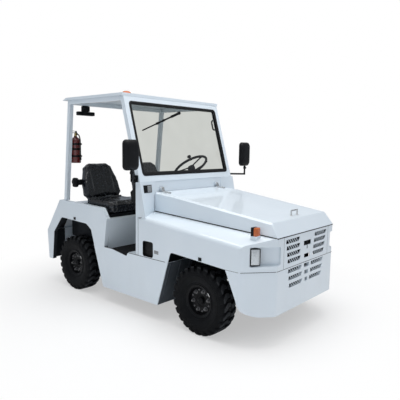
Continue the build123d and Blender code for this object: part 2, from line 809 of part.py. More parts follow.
def cowl_corner(side):
    """The block between the front fender's rear edge and the windscreen's foot."""
    with BuildPart() as corner:
        for y, foot_u, head_u in (
            (cowl_corner_inner_y, hood_rear_u, hood_rear_u),
            (cowl_half_width, cowl_corner_foot_u, cowl_corner_head_u),
        ):
            with BuildSketch(Plane.XZ.offset(-side * y)):
                with BuildLine():
                    Polyline(
                        (x_at(cowl_rear_u + sheet), cowl_corner_low_z),
                        (x_at(foot_u), cowl_corner_low_z),
                        (x_at(head_u), cowl_top_z),
                        (x_at(cowl_rear_u + sheet), cowl_top_z),
                        close=True,
                    )
                make_face()
        loft(ruled=True)
    return corner.part


with BuildPart() as cowl:
    add(block(cowl_rear_u, cowl_front_u, -cowl_half_width, cowl_half_width, floor_z + seat_gap, cowl_top_z))
    for side in (1, -1):
        add(cowl_corner(side))
        for ear in (1, -1):
            ear_y = side * hinge_y + ear * (strap_width / 2 + hinge_side_gap + hinge_ear_thick / 2)
            add(side_solid([
                (cowl_front_u - sheet, hinge_z - hinge_barrel_radius - 4),
                (hinge_u, hinge_z - hinge_barrel_radius),
                (hinge_u + hinge_barrel_radius, hinge_z),
                (hinge_u, hinge_z + hinge_barrel_radius),
                (cowl_front_u - sheet, hinge_z + hinge_barrel_radius + 4),
            ], ear_y - hinge_ear_thick / 2, ear_y + hinge_ear_thick / 2))
        pin_reach = strap_width / 2 + hinge_side_gap + hinge_ear_thick / 2
        add(cross_cylinder(
            x_at(hinge_u), hinge_z, hinge_pin_radius, side * hinge_y - pin_reach, side * hinge_y + pin_reach))
    fender_space = fender_core(-seat_gap, front_body_rear_u - seat_gap, fender_inner_y, body_seam_z)
    add(fender_space, mode=Mode.SUBTRACT)
    add(mirror(fender_space, about=Plane.XZ, mode=Mode.PRIVATE), mode=Mode.SUBTRACT)
save(cowl.part, "cowl")

# Side skirts between the wheels, with a shallow notch over the step, a lip below and slanted ends turned inward
skirt_rear_foot_u = 474
skirt_rear_head_u = 340
skirt_front_foot_u = arch_rear_low_u - 119
step_rear_u = deck_front_low_u + 93
step_front_u = front_body_rear_u - 157
step_rise = 20
step_low_z = floor_z - 2
skirt_lip = 60
skirt_top_z = body_seam_z - seat_gap
skirt_front_end_y = 330
skirt_rear_end_y = 480
with BuildPart() as side_skirts:
    add(side_solid([
        (skirt_rear_foot_u, skirt_bottom_z),
        (skirt_rear_head_u, skirt_top_z),
        (step_rear_u, skirt_top_z),
        (step_front_u, step_low_z),
        (step_front_u + step_rise, skirt_top_z),
        (arch_rear_low_u, skirt_top_z),
        (skirt_front_foot_u, skirt_bottom_z),
    ], -body_half_width, -body_half_width + sheet))
    add(block(skirt_rear_foot_u + over, skirt_front_foot_u - over, -body_half_width, -body_half_width + skirt_lip,
              skirt_bottom_z, skirt_bottom_z + sheet))
    for foot_u, head_u, inward, end_y in (
        (skirt_rear_foot_u, skirt_rear_head_u, sheet, skirt_rear_end_y),
        (skirt_front_foot_u, arch_rear_low_u, -sheet, skirt_front_end_y),
    ):
        add(side_solid([
            (foot_u, skirt_bottom_z),
            (head_u, skirt_top_z),
            (head_u + inward, skirt_top_z),
            (foot_u + inward, skirt_bottom_z),
        ], -body_half_width, -end_y))
    mirror(about=Plane.XZ)
save(side_skirts.part, "side_skirts")

# Door sills: a block each side on the floor between the step and the cowl
with BuildPart() as door_sills:
    sill_outer_y = body_half_width - sheet - seat_gap
    for side in (1, -1):
        add(block(step_front_u + step_rise + over, cowl_rear_u - seat_gap, side * (sill_outer_y - 80),
                  side * sill_outer_y, floor_z + seat_gap, body_seam_z + panel_gap))
save(door_sills.part, "door_sills")

# Rear fenders: thick side walls over the rear wheels, falling to the seat deck in front
tail_top_u = 87 - rear_overhang
tail_bottom_u = 111 - rear_overhang
tail_seam_z = 547
rear_arch_tail_u = -345
rear_arch_front_u = skirt_rear_head_u + 4
rear_arch_high_z = axle_z + tyre_radius + 172
rear_arch_low_z = axle_z + tyre_radius + 110
fender_top_z = rear_deck_z + 38
fender_front_z = fender_top_z - 14
fender_outline = [
    # station, height and radius of each corner
    (tail_top_u, tail_seam_z),
    (-228, fender_top_z, 20),
    (deck_front_low_u - 28, fender_front_z, 45),
    (deck_front_top_u + 7, deck_z + 6),
    (deck_front_low_u, body_seam_z + seat_gap),
    (rear_arch_front_u, body_seam_z + seat_gap),
    (rear_arch_front_u - 47, rear_arch_low_z, 25),
    (rear_arch_front_u - 122, rear_arch_high_z - 15, 40),
    (rear_arch_tail_u + 145, rear_arch_high_z, 50),
    (rear_arch_tail_u, tail_seam_z),
]
with BuildPart() as rear_fenders:
    add(side_solid(fender_outline, -body_half_width, -body_half_width + wall))
    mirror(about=Plane.XZ)
save(rear_fenders.part, "rear_fenders")

# Seat deck: front wall, platform, riser and rear deck in one folded sheet between the fenders, on wheel-box walls
deck_half_width = body_half_width - wall - seat_gap
riser_u = -80
rear_deck_u = -205
wheel_box_y = 470
wheel_box_rear_u = rear_deck_u - 75
with BuildPart() as seat_deck:
    add(side_solid([
        (deck_front_low_u, floor_z + seat_gap),
        (deck_front_top_u, deck_z),
        (riser_u, deck_z),
        (riser_u, rear_deck_z),
        (rear_deck_u, rear_deck_z),
        (rear_deck_u, rear_deck_z - deck_sheet),
        (riser_u - deck_sheet, rear_deck_z - deck_sheet),
        (riser_u - deck_sheet, deck_z - deck_sheet),
        (deck_front_top_u - deck_sheet - 2, deck_z - deck_sheet),
        (deck_front_low_u - deck_sheet, floor_z + seat_gap),
    ], -deck_half_width, deck_half_width))
    for side in (1, -1):
        add(block(wheel_box_rear_u, deck_front_low_u - deck_sheet / 2, side * wheel_box_y - sheet / 2,
                  side * wheel_box_y + sheet / 2, rail_top_z + 20, deck_z - deck_sheet / 2))
save(seat_deck.part, "seat_deck")

# Rear panel: the sloping back between the fenders
back_foot_u = tail_top_u + 8
back_head_u = back_foot_u + 222
with BuildPart() as rear_panel:
    add(side_solid([
        (back_foot_u, tail_seam_z + 1),
        (back_head_u, rear_deck_z),
        (rear_deck_u - seat_gap, rear_deck_z),
        (rear_deck_u - seat_gap, rear_deck_z - deck_sheet),
        (back_head_u + sheet, rear_deck_z - deck_sheet),
        (back_foot_u + 12, tail_seam_z + 1),
    ], -deck_half_width, deck_half_width))
save(rear_panel.part, "rear_panel")

# Rear bumper: a heavy plate across the tail with short side returns
tail_top_z = tail_seam_z - seat_gap
tail_bottom_z = 250
with BuildPart() as rear_bumper:
    add(side_solid([
        (tail_top_u, tail_top_z),
        (rear_arch_tail_u, tail_top_z),
        (rear_arch_tail_u - 36, tail_bottom_z),
        (tail_bottom_u, tail_bottom_z),
    ], -body_half_width, body_half_width))
    add(block(tail_inner_u, rear_arch_tail_u + wall, -body_half_width + wall, body_half_width - wall,
              tail_bottom_z - over, tail_top_z + over), mode=Mode.SUBTRACT)
save(rear_bumper.part, "rear_bumper")


def tail_u(z):
    """Station of the rear bumper's outer face at a height."""
    return between(tail_bottom_z, tail_bottom_u, tail_top_z, tail_top_u, z)


# Tow hitch: three jaw plates on a back plate, bored for the pin
hitch_tip_u = -rear_overhang
hitch_pin_u = hitch_tip_u + 42
hitch_half_width = 60
hitch_plate_levels = (285, 362, 439)
hitch_plate_thick = 22
hitch_back_thick = 20
tow_pin_radius = 15
hitch_low = hitch_plate_levels[0]
hitch_high = hitch_plate_levels[-1] + hitch_plate_thick
with BuildPart() as tow_hitch:
    back_low_u = tail_u(hitch_low) - seat_gap
    back_high_u = tail_u(hitch_high) - seat_gap
    add(side_solid([
        (back_low_u, hitch_low),
        (back_high_u, hitch_high),
        (back_high_u - hitch_back_thick, hitch_high),
        (back_high_u - hitch_back_thick, hitch_low),
    ], -hitch_half_width - 20, hitch_half_width + 20))
    for level in hitch_plate_levels:
        add(block(hitch_tip_u, back_high_u - hitch_back_thick + 1, -hitch_half_width, hitch_half_width,
                  level, level + hitch_plate_thick))
    with Locations((x_at(hitch_pin_u), 0, (hitch_low + hitch_high) / 2)):
        Cylinder(tow_pin_radius + pivot_gap, hitch_high - hitch_low + 2 * over, mode=Mode.SUBTRACT)
save(tow_hitch.part, "tow_hitch")

# Tow pin: a bar with a collar that rests on the top jaw and a flat ring to lift it by
pin_collar_radius = 24
pin_collar_height = 12
pin_ring_outer = 32
pin_ring_inner = 20
pin_ring_half = 6
pin_neck_half = 7
with BuildPart() as tow_pin:
    pin_low = hitch_low - 10
    collar_z = hitch_high + seat_gap
    ring_z = collar_z + pin_collar_height + pin_ring_outer
    with BuildSketch(Plane.XY.offset(pin_low)):
        with Locations((x_at(hitch_pin_u), 0)):
            Circle(tow_pin_radius)
    extrude(amount=collar_z + pin_collar_height - pin_low)
    with BuildSketch(Plane.XY.offset(collar_z)):
        with Locations((x_at(hitch_pin_u), 0)):
            RegularPolygon(pin_collar_radius, 12)
    extrude(amount=pin_collar_height)
    with BuildSketch(lying(x_at(hitch_pin_u), -pin_ring_half, ring_z)):
        RegularPolygon(pin_ring_outer, 10)
        RegularPolygon(pin_ring_inner, 10, mode=Mode.SUBTRACT)
    extrude(amount=2 * pin_ring_half)
    with Locations((x_at(hitch_pin_u), 0, collar_z + pin_collar_height + 3)):
        Box(2 * pin_neck_half, 2 * pin_neck_half, 8)
save(tow_pin.part, "tow_pin")

# Floor plate and the rubber mat over it, out to the skirts
floor_half_width = body_half_width - sheet - seat_gap
with BuildPart() as floor_plate:
    add(block(deck_front_low_u - 20, cowl_rear_u + 30, -floor_half_width, floor_half_width,
              floor_z - floor_plate_thick, floor_z))
save(floor_plate.part, "floor_plate")

mat_front_u = cowl_rear_u - 4
with BuildPart() as floor_mat:
    mat_low_z = floor_z + seat_gap
    add(block(deck_front_low_u + 6, mat_front_u, -floor_half_width, floor_half_width, mat_low_z,
              mat_low_z + mat_thick))
    for side in (1, -1):
        add(block(step_front_u + step_rise + over - panel_gap, mat_front_u + over, side * (sill_outer_y - 80 - panel_gap),
                  side * (floor_half_width + over), mat_low_z - over, mat_low_z + mat_thick + over),
            mode=Mode.SUBTRACT)
save(floor_mat.part, "floor_mat")

# Windscreen: a raked frame with a rubber gasket and glass, standing on the cowl
screen_run = 183
screen_rise = glass_top_z - glass_bottom_z
screen_rake = atan2(screen_run, screen_rise)
screen_slope = screen_run / screen_rise
screen_foot_u = cowl_front_u - 11 + (glass_bottom_z - cowl_top_z) * screen_slope
screen_plane = Plane(
    origin=(x_at(screen_foot_u), 0, cowl_top_z),
    x_dir=(0, 1, 0),
    z_dir=(cos(screen_rake), 0, sin(screen_rake)),
)
frame_half_width = 629
frame_depth = 42
frame_head = (roof_bottom_z - cowl_top_z) / cos(screen_rake)
glass_half_width = 576
glass_low = (glass_bottom_z - cowl_top_z) / cos(screen_rake)
glass_high = (glass_top_z - cowl_top_z) / cos(screen_rake)
glass_round = 25
gasket_width = 14
gasket_round = glass_round - 11
gasket_front = 6
gasket_depth = 22
glass_thick = 5
glass_depth = 14


def screen_slab(half_width, low, high, front, depth, radius):
    """A rounded slab in the windscreen's plane, its face set back by front."""
    with BuildPart() as slab:
        with BuildSketch(screen_plane.offset(-front)):
            with Locations((0, (low + high) / 2)):
                RectangleRounded(2 * half_width, high - low, radius)
        extrude(amount=-depth)
    return slab.part


with BuildPart() as windshield_frame:
    with BuildSketch(screen_plane):
        with Locations((0, frame_head / 2)):
            Rectangle(2 * frame_half_width, frame_head + 60)
    extrude(amount=-frame_depth)
    add(screen_slab(glass_half_width, glass_low, glass_high, -over, frame_depth + 2 * over, glass_round),
        mode=Mode.SUBTRACT)
    cut_rear_u = screen_foot_u - 350
    cut_front_u = screen_foot_u + 250
    add(block(cut_rear_u, cut_front_u, -body_half_width, body_half_width, cowl_top_z - 80, cowl_top_z + seat_gap),
        mode=Mode.SUBTRACT)
    add(block(cut_rear_u, cut_front_u, -body_half_width, body_half_width, roof_bottom_z - seat_gap,
              roof_bottom_z + 80), mode=Mode.SUBTRACT)
save(windshield_frame.part, "windshield_frame")

with BuildPart() as windshield_gasket:
    add(screen_slab(glass_half_width - seat_gap, glass_low + seat_gap, glass_high - seat_gap, gasket_front,
                    gasket_depth, glass_round))
    add(screen_slab(glass_half_width - gasket_width, glass_low + gasket_width, glass_high - gasket_width,
                    gasket_front - over, gasket_depth + 2 * over, gasket_round), mode=Mode.SUBTRACT)
save(windshield_gasket.part, "windshield_gasket")

with BuildPart() as windshield_glass:
    inset = gasket_width + seat_gap
    add(screen_slab(glass_half_width - inset, glass_low + inset, glass_high - inset, glass_depth, glass_thick,
                    gasket_round - seat_gap))
save(windshield_glass.part, "windshield_glass")

# Roof: a shallow tray on two side rails, with leaning rear pillars and a rear cross rail
roof_front_u = cowl_rear_u - 170
roof_rear_u = -150
roof_depth = 25
roof_slope_run = 60
roof_half_width = 640
post_size = 40
pillar_y = 612
pillar_head_u = -50
pillar_foot_u = -148
with BuildPart() as roof_panel:
    add(side_solid([
        (roof_rear_u, roof_bottom_z),
        (roof_rear_u + roof_slope_run, roof_bottom_z + roof_depth),
        (roof_front_u, roof_bottom_z + roof_depth),
        (roof_front_u, roof_bottom_z),
    ], -roof_half_width, roof_half_width))
save(roof_panel.part, "roof_panel")

beam_low = roof_bottom_z - seat_gap - post_size
with BuildPart() as roof_frame:
    rail_front_u = screen_foot_u - (beam_low - cowl_top_z) * screen_slope - frame_depth / cos(screen_rake)
    for side in (1, -1):
        y0 = side * pillar_y - post_size / 2
        y1 = side * pillar_y + post_size / 2
        add(side_solid([
            (pillar_foot_u - post_size / 2, fender_top_z + seat_gap),
            (pillar_head_u - post_size / 2, roof_bottom_z - seat_gap),
            (pillar_head_u + post_size / 2, roof_bottom_z - seat_gap),
            (pillar_foot_u + post_size / 2, fender_top_z + seat_gap),
        ], y0, y1))
        add(side_solid([
            (pillar_head_u, beam_low),
            (pillar_head_u, roof_bottom_z - seat_gap),
            (rail_front_u - post_size * screen_slope - seat_gap, roof_bottom_z - seat_gap),
            (rail_front_u - seat_gap, beam_low),
        ], y0, y1))
    add(block(pillar_head_u - post_size / 2, pillar_head_u + post_size / 2, -pillar_y, pillar_y, beam_low,
              roof_bottom_z - seat_gap))
save(roof_frame.part, "roof_frame")

# Seats: base, cushion and leaning back, one pair on each side of the middle
seat_y = 320
seat_width = 470
seat_corner = 40
cushion_rear_u = 60
cushion_front_u = 480
cushion_bottom_z = deck_z + 30
cushion_top_z = cushion_bottom_z + 105
cushion_edge = 20
back_foot_seat_u = cushion_rear_u + 35
back_foot_seat_z = cushion_top_z + 15
back_lean = radians(20)
back_height = 390
back_waist = 0.45
back_thick = 75
back_top_half = 160
bracket_width = 120
bracket_thick = 6
bracket_rise = 200
back_plane = Plane(
    origin=(x_at(back_foot_seat_u), 0, back_foot_seat_z),
    x_dir=(0, 1, 0),
    z_dir=(cos(back_lean), 0, sin(back_lean)),
)
bracket_plane = back_plane.offset(-back_thick - seat_gap)
bracket_foot = -(bracket_plane.origin.Z - deck_z - seat_gap) / cos(back_lean) + bracket_thick
with BuildPart() as seat_bases:
    for side in (1, -1):
        seat_mid = side * seat_y
        add(block(cushion_rear_u + 2, cushion_front_u - 20, seat_mid - seat_width / 2 + 20,
                  seat_mid + seat_width / 2 - 20, deck_z + seat_gap, cushion_bottom_z - seat_gap))
        with BuildSketch(bracket_plane):
            with Locations((seat_mid, (bracket_foot + bracket_rise) / 2)):
                Rectangle(bracket_width, bracket_rise - bracket_foot)
        extrude(amount=-bracket_thick)
save(seat_bases.part, "seat_bases")

with BuildPart() as seat_cushions:
    for side in (1, -1):
        seat_mid = side * seat_y
        add(block(cushion_rear_u, cushion_front_u, seat_mid - seat_width / 2, seat_mid + seat_width / 2,
                  cushion_bottom_z, cushion_top_z))
    chamfer(seat_cushions.edges().filter_by(Axis.Z), seat_corner)
    chamfer(seat_cushions.faces().sort_by(Axis.Z)[-2:].edges(), cushion_edge)
save(seat_cushions.part, "seat_cushions")

with BuildPart() as seat_backs:
    for side in (1, -1):
        seat_mid = side * seat_y
        with BuildSketch(back_plane) as back_outline:
            with BuildLine():
                Polyline(
                    (seat_mid - seat_width / 2, 0),
                    (seat_mid + seat_width / 2, 0),
                    (seat_mid + seat_width / 2, back_height * back_waist),
                    (seat_mid + back_top_half, back_height),
                    (seat_mid - back_top_half, back_height),
                    (seat_mid - seat_width / 2, back_height * back_waist),
                    close=True,
                )
            make_face()
            chamfer(back_outline.vertices(), seat_corner)
        extrude(amount=-back_thick)
save(seat_backs.part, "seat_backs")

# Dashboard, its sloping face square to the steering column, with an instrument pod behind the wheel
wheel_tilt = radians(38)
wheel_hub_u = cowl_rear_u - 230
wheel_hub_y = 300
wheel_hub_z = 1235
dash_low_u = wheel_hub_u + 90
dash_low_z = 1040
dash_face = 100
dash_half_width = 580
pod_half_width = 110
pod_height = 38
with BuildPart() as dashboard:
    dash_high_u = dash_low_u + dash_face * cos(wheel_tilt)
    dash_high_z = dash_low_z + dash_face * sin(wheel_tilt)
    add(side_solid([
        (dash_low_u, dash_low_z),
        (dash_high_u, dash_high_z),
        (cowl_rear_u - seat_gap, dash_high_z),
        (cowl_rear_u - seat_gap, dash_low_z - 140),
        (dash_low_u + 15, dash_low_z - 80),
    ], -dash_half_width, dash_half_width))
    add(side_solid([
        (dash_high_u, dash_high_z - over),
        (dash_high_u + 10, dash_high_z + pod_height - 12),
        (dash_high_u + 26, dash_high_z + pod_height),
        (cowl_rear_u - 4, dash_high_z + pod_height),
        (cowl_rear_u - 4, dash_high_z - over),
    ], wheel_hub_y - pod_half_width, wheel_hub_y + pod_half_width))
save(dashboard.part, "dashboard")

# Steering column down to the dash, and the wheel: a six-sided rim, three spokes, a round hub and a spinner knob
column_dir = (sin(wheel_tilt), 0, -cos(wheel_tilt))
hub_point = (x_at(wheel_hub_u), wheel_hub_y, wheel_hub_z)
column_plane = Plane(origin=hub_point, x_dir=(0, 1, 0), z_dir=column_dir)
dash_distance = (dash_low_u - wheel_hub_u) * column_dir[0] + (dash_low_z - wheel_hub_z) * column_dir[2]
column_start = 40
column_radius = 32
with BuildPart() as steering_column:
    with BuildSketch(column_plane.offset(column_start)):
        RegularPolygon(column_radius, 16)
    extrude(amount=dash_distance - column_start - seat_gap)
save(steering_column.part, "steering_column")

rim_centre_radius = 180
grip_radius = 13
grip_high = 0.87 * grip_radius
grip_sides = 24
wheel_hub_radius = 38
wheel_hub_rise = 8
spoke_width = 22
spoke_thick = 8
knob_place = (-130, -125)
knob_radius = 20
knob_height = 45
with BuildPart() as steering_wheel:
    outer_rim = []
    inner_rim = []
    for distance, bulge in ((-grip_high, grip_radius / 2), (0, grip_radius), (grip_high, grip_radius / 2)):
        outer_rim.append((distance, rim_centre_radius + bulge))
        inner_rim.append((distance, rim_centre_radius - bulge))
    add(turned(column_plane, outer_rim, grip_sides))
    add(turned(column_plane, inner_rim, grip_sides), mode=Mode.SUBTRACT)
    with BuildSketch(column_plane.offset(-wheel_hub_rise)):
        Circle(wheel_hub_radius)
    extrude(amount=column_start - seat_gap + wheel_hub_rise)
    with BuildSketch(column_plane) as spokes:
        for angle in (90, 210, 330):
            with Locations(Rotation(0, 0, angle)):
                with Locations((rim_centre_radius / 2, 0)):
                    Rectangle(rim_centre_radius, spoke_width)
    extrude(amount=spoke_thick)
    with BuildSketch(column_plane.offset(-knob_height)):
        with Locations(knob_place):
            RegularPolygon(knob_radius, 12)
    extrude(amount=knob_height)
save(steering_wheel.part, "steering_wheel")

# Driver's controls: pedals hung from the cowl, gear lever and parking lever on the floor
pedal_half_width = 25
lever_radius = 9
pedal_root_u = cowl_rear_u - seat_gap
pedal_top_z = floor_z + 296
pedal_outline = [
    (pedal_root_u, pedal_top_z - 20),
    (pedal_root_u, pedal_top_z),
    (cowl_rear_u - 80, pedal_top_z - 140),
    (cowl_rear_u - 95, pedal_top_z - 180),
    (cowl_rear_u - 130, pedal_top_z - 220),
    (cowl_rear_u - 122, pedal_top_z - 228),
    (cowl_rear_u - 80, pedal_top_z - 180),
    (cowl_rear_u - 68, pedal_top_z - 140),
]
levers = [
    # width, station, height over the floor
    (60, cowl_rear_u - 290, 336),
    (-40, cowl_rear_u - 230, 276),
]
with BuildPart() as driver_controls:
    for pedal_y in (wheel_hub_y - 100, wheel_hub_y, wheel_hub_y + 100):
        add(side_solid(pedal_outline, pedal_y - pedal_half_width, pedal_y + pedal_half_width))
    for lever_y, lever_u, lever_height in levers:
        with BuildSketch(Plane.XY.offset(mat_low_z + mat_thick + seat_gap)):
            with Locations((x_at(lever_u), lever_y)):
                RegularPolygon(lever_radius, 10)
        extrude(amount=lever_height)
save(driver_controls.part, "driver_controls")

# Mirrors: bent arms from the windscreen's feet and upright heads
arm_radius = 9
arm_step = 35
arm_root_u = screen_foot_u - 46
arm_root_z = cowl_top_z + 22
mirror_width = 150
mirror_y = mirror_half_width - mirror_width / 2
mirror_u = cowl_front_u + 72
mirror_low_z = 1247
mirror_high_z = 1493
mirror_depth = 50
mirror_round = 35
with BuildPart() as mirror_arms:
    for side in (1, -1):
        add(bar([
            (x_at(arm_root_u), side * (frame_half_width + seat_gap), arm_root_z),
            (x_at(arm_root_u), side * (frame_half_width + arm_step), arm_root_z),
            (x_at(mirror_u), side * mirror_y, arm_root_z),
            (x_at(mirror_u), side * mirror_y, mirror_low_z - seat_gap),
        ], arm_radius, 8))
save(mirror_arms.part, "mirror_arms")

with BuildPart() as mirror_heads:
    for side in (1, -1):
        with BuildSketch(Plane.YZ.offset(x_at(mirror_u - mirror_depth / 2))):
            with Locations((side * mirror_y, (mirror_low_z + mirror_high_z) / 2)):
                RectangleRounded(mirror_width, mirror_high_z - mirror_low_z, mirror_round)
        extrude(amount=mirror_depth)
save(mirror_heads.part, "mirror_heads")

# Roof beacon: a low base and a dome
beacon_u = 45
beacon_base_radius = 60
beacon_base_height = 30
beacon_radius = 52
beacon_height = 120
beacon_low_z = roof_bottom_z + roof_depth + seat_gap
beacon_plane = Plane.XY.move(Location((x_at(beacon_u), 0, beacon_low_z)))
with BuildPart() as beacon:
    add(turned(beacon_plane, [(0, beacon_base_radius), (beacon_base_height, beacon_base_radius)], 24))
    add(turned(beacon_plane, [
        (0, beacon_radius),
        (beacon_height - 32, beacon_radius),
        (beacon_height - 14, 0.88 * beacon_radius),
        (beacon_height - 4, 0.62 * beacon_radius),
        (beacon_height, 0.3 * beacon_radius),
    ], 24))
save(beacon.part, "beacon")

# Head lamps in their pockets, their faces in line with the cut corners
lamp_set_in = 3
lamp_inner_y = pocket_turn_y + 16
lamp_outer_y = pocket_outer_y - 14
lamp_edge_gap = 8


def corner_u(y):
    """Station of the cut corner's face at a width."""
    return between(body_half_width, corner_start_u, corner_face_y, face_u, y)


with BuildPart() as headlamps:
    for side in (1, -1):
        lamp_back_x = x_at(pocket_rear_u + seat_gap)
        add(plan_solid([
            (lamp_back_x, side * lamp_outer_y),
            (lamp_back_x, side * lamp_inner_y),
            (x_at(corner_u(lamp_inner_y) - lamp_set_in), side * lamp_inner_y),
            (x_at(corner_u(lamp_outer_y) - lamp_set_in), side * lamp_outer_y),
        ], pocket_low_z + lamp_edge_gap, pocket_high_z - lamp_edge_gap))
save(headlamps.part, "headlamps")

# Turn lamps on the shoulders
turn_lamp_u = radiator_front_u
turn_lamp_y = 505
turn_lamp_z = 845
turn_lamp_half = (25, 30, 40)
with BuildPart() as turn_lamps:
    for side in (1, -1):
        add(block(turn_lamp_u - turn_lamp_half[0], turn_lamp_u + turn_lamp_half[0], side * turn_lamp_y - turn_lamp_half[1],
                  side * turn_lamp_y + turn_lamp_half[1], turn_lamp_z - turn_lamp_half[2], turn_lamp_z + turn_lamp_half[2]))
        space = fender_core(-seat_gap, front_body_rear_u, fender_inner_y, body_seam_z)
        add(space if side < 0 else mirror(space, about=Plane.XZ, mode=Mode.PRIVATE), mode=Mode.SUBTRACT)
save(turn_lamps.part, "turn_lamps")

# Tail lamps on the rear bumper
tail_lamp_y = 530
tail_lamp_half = 60
tail_lamp_low_z = 460
tail_lamp_high_z = 530
tail_lamp_depth = 30
with BuildPart() as tail_lamps:
    for side in (1, -1):
        lamp_face_u = tail_u(tail_lamp_high_z) - seat_gap - tail_lamp_depth
        add(side_solid([
            (tail_u(tail_lamp_high_z) - seat_gap, tail_lamp_high_z),
            (tail_u(tail_lamp_low_z) - seat_gap, tail_lamp_low_z),
            (lamp_face_u, tail_lamp_low_z),
            (lamp_face_u, tail_lamp_high_z),
        ], side * tail_lamp_y - tail_lamp_half, side * tail_lamp_y + tail_lamp_half))
save(tail_lamps.part, "tail_lamps")

# Work lamp under the rear cross rail
work_lamp_y = -445
work_lamp_half_width = 95
work_lamp_height = 40
work_lamp_drop = 57
work_bracket_half = 15
with BuildPart() as work_lamp:
    lamp_top_z = beam_low - work_lamp_drop
    add(block(pillar_head_u - work_bracket_half, pillar_head_u + work_bracket_half, work_lamp_y - work_bracket_half,
              work_lamp_y + work_bracket_half, lamp_top_z, beam_low - seat_gap))
    add(block(pillar_head_u - 2 * work_bracket_half, pillar_head_u + 2 * work_bracket_half,
              work_lamp_y - work_lamp_half_width, work_lamp_y + work_lamp_half_width,
              lamp_top_z - work_lamp_height, lamp_top_z))
save(work_lamp.part, "work_lamp")

# Wiper hung from the windscreen's head
wiper_pivot_z = 1760
wiper_width = 14
wiper_thick = 12
wiper_hub_radius = 16
with BuildPart() as wiper:
    wiper_plane = screen_plane.offset(seat_gap - glass_depth)
    wiper_pivot = (33, (wiper_pivot_z - cowl_top_z) / cos(screen_rake))
    wiper_tip = (-470, 540)
    with BuildSketch(wiper_plane):
        with BuildLine():
            Line(wiper_pivot, wiper_tip)
        trace(line_width=wiper_width)
    extrude(amount=wiper_thick)
    with BuildSketch(wiper_plane):
        with Locations(wiper_pivot):
            RegularPolygon(wiper_hub_radius, 12)
    extrude(amount=2 * wiper_thick)
save(wiper.part, "wiper")

# Grab handle on the left screen pillar
grab_y = 600
grab_foot_levels = (520, 620)
grab_radius = 8
grab_stand_off = 50
with BuildPart() as grab_handle:
    grip_plane = screen_plane.offset(-frame_depth - seat_gap)
    for level in grab_foot_levels:
        with BuildSketch(grip_plane):
            with Locations((grab_y, level)):
                RegularPolygon(grab_radius, 10)
        extrude(amount=-grab_stand_off)
    with BuildSketch(grip_plane.offset(2 * grab_radius - grab_stand_off)):
        with Locations((grab_y, sum(grab_foot_levels) / 2)):
            Rectangle(2 * grab_radius, grab_foot_levels[1] - grab_foot_levels[0] + 2 * grab_radius)
    extrude(amount=-2 * grab_radius)
save(grab_handle.part, "grab_handle")

# Fire extinguisher clamped beside the right rear pillar
bottle_radius = 50
bottle_stand_off = 12
bottle_low_z = 1262
bottle_height = 258
bottle_neck_radius = 16
bottle_neck_height = 40
bottle_u = pillar_head_u - 55
clamp_levels = (68, 188)
clamp_length = 30
clamp_height = 20
pillar_inner_y = pillar_y - post_size / 2
bottle_y = -(pillar_inner_y - bottle_stand_off - bottle_radius)
bottle_plane = Plane.XY.move(Location((x_at(bottle_u), bottle_y, bottle_low_z)))
with BuildPart() as fire_extinguisher:
    add(turned(bottle_plane, [
        (0, bottle_radius - 6),
        (6, bottle_radius),
        (bottle_height - 36, bottle_radius),
        (bottle_height - 12, bottle_radius - 12),
        (bottle_height, bottle_neck_radius),
        (bottle_height + bottle_neck_height, bottle_neck_radius),
    ], 16))
    neck_top_z = bottle_low_z + bottle_height + bottle_neck_height
    with Locations((x_at(bottle_u - 10), bottle_y, neck_top_z + 15)):
        Box(90, 16, 30)
    for level in clamp_levels:
        with Locations((x_at(bottle_u), (bottle_y - pillar_inner_y + seat_gap) / 2, bottle_low_z + level)):
            Box(clamp_length, abs(bottle_y + pillar_inner_y - seat_gap), clamp_height)
save(fire_extinguisher.part, "fire_extinguisher")
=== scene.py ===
import json
import math

import bmesh
import bpy
from mathutils import Matrix, Vector, noise


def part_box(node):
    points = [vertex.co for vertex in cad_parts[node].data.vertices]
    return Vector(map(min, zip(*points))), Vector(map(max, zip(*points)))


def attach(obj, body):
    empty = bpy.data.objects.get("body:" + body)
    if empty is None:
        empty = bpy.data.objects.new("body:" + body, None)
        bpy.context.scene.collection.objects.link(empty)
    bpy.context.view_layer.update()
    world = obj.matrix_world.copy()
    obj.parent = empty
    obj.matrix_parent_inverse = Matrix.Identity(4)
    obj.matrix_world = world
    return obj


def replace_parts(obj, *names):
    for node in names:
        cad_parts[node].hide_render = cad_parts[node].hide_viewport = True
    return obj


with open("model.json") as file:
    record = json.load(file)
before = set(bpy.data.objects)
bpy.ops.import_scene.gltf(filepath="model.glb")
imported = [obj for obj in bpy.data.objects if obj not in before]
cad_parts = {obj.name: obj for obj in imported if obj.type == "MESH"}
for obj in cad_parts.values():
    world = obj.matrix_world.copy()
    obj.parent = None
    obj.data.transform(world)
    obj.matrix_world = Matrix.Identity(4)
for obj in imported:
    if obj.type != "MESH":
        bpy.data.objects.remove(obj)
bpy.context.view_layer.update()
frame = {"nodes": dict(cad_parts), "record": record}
nodes = frame["nodes"]
scene = bpy.context.scene

# Places on the tug, in metres; stations are measured forward of the rear axle
REAR_AXLE_X = -0.823
FRONT_AXLE_X = 0.817
AXLE_Z = 0.270
WHEEL_Y = 0.567
FACE_X = 1.383
BODY_Y = 0.646
SIDES = (1, -1)
HANDS = (("left", 1), ("right", -1))


def at(u):
    """X of a station given in metres forward of the rear axle."""
    return REAR_AXLE_X + u


def move(x, y, z):
    return Matrix.Translation((x, y, z))


def turn(angle, axis):
    """A turn in radians about one of the axes."""
    return Matrix.Rotation(angle, 4, axis)


def axes(x, y, z, origin):
    """A place from the directions of its three axes and its origin."""
    place = Matrix((x, y, z)).transposed().to_4x4()
    place.translation = origin
    return place


def stand(x, y, z, direction):
    """A place whose Z axis points along direction."""
    return move(x, y, z) @ Vector((0, 0, 1)).rotation_difference(Vector(direction)).to_matrix().to_4x4()


# Materials


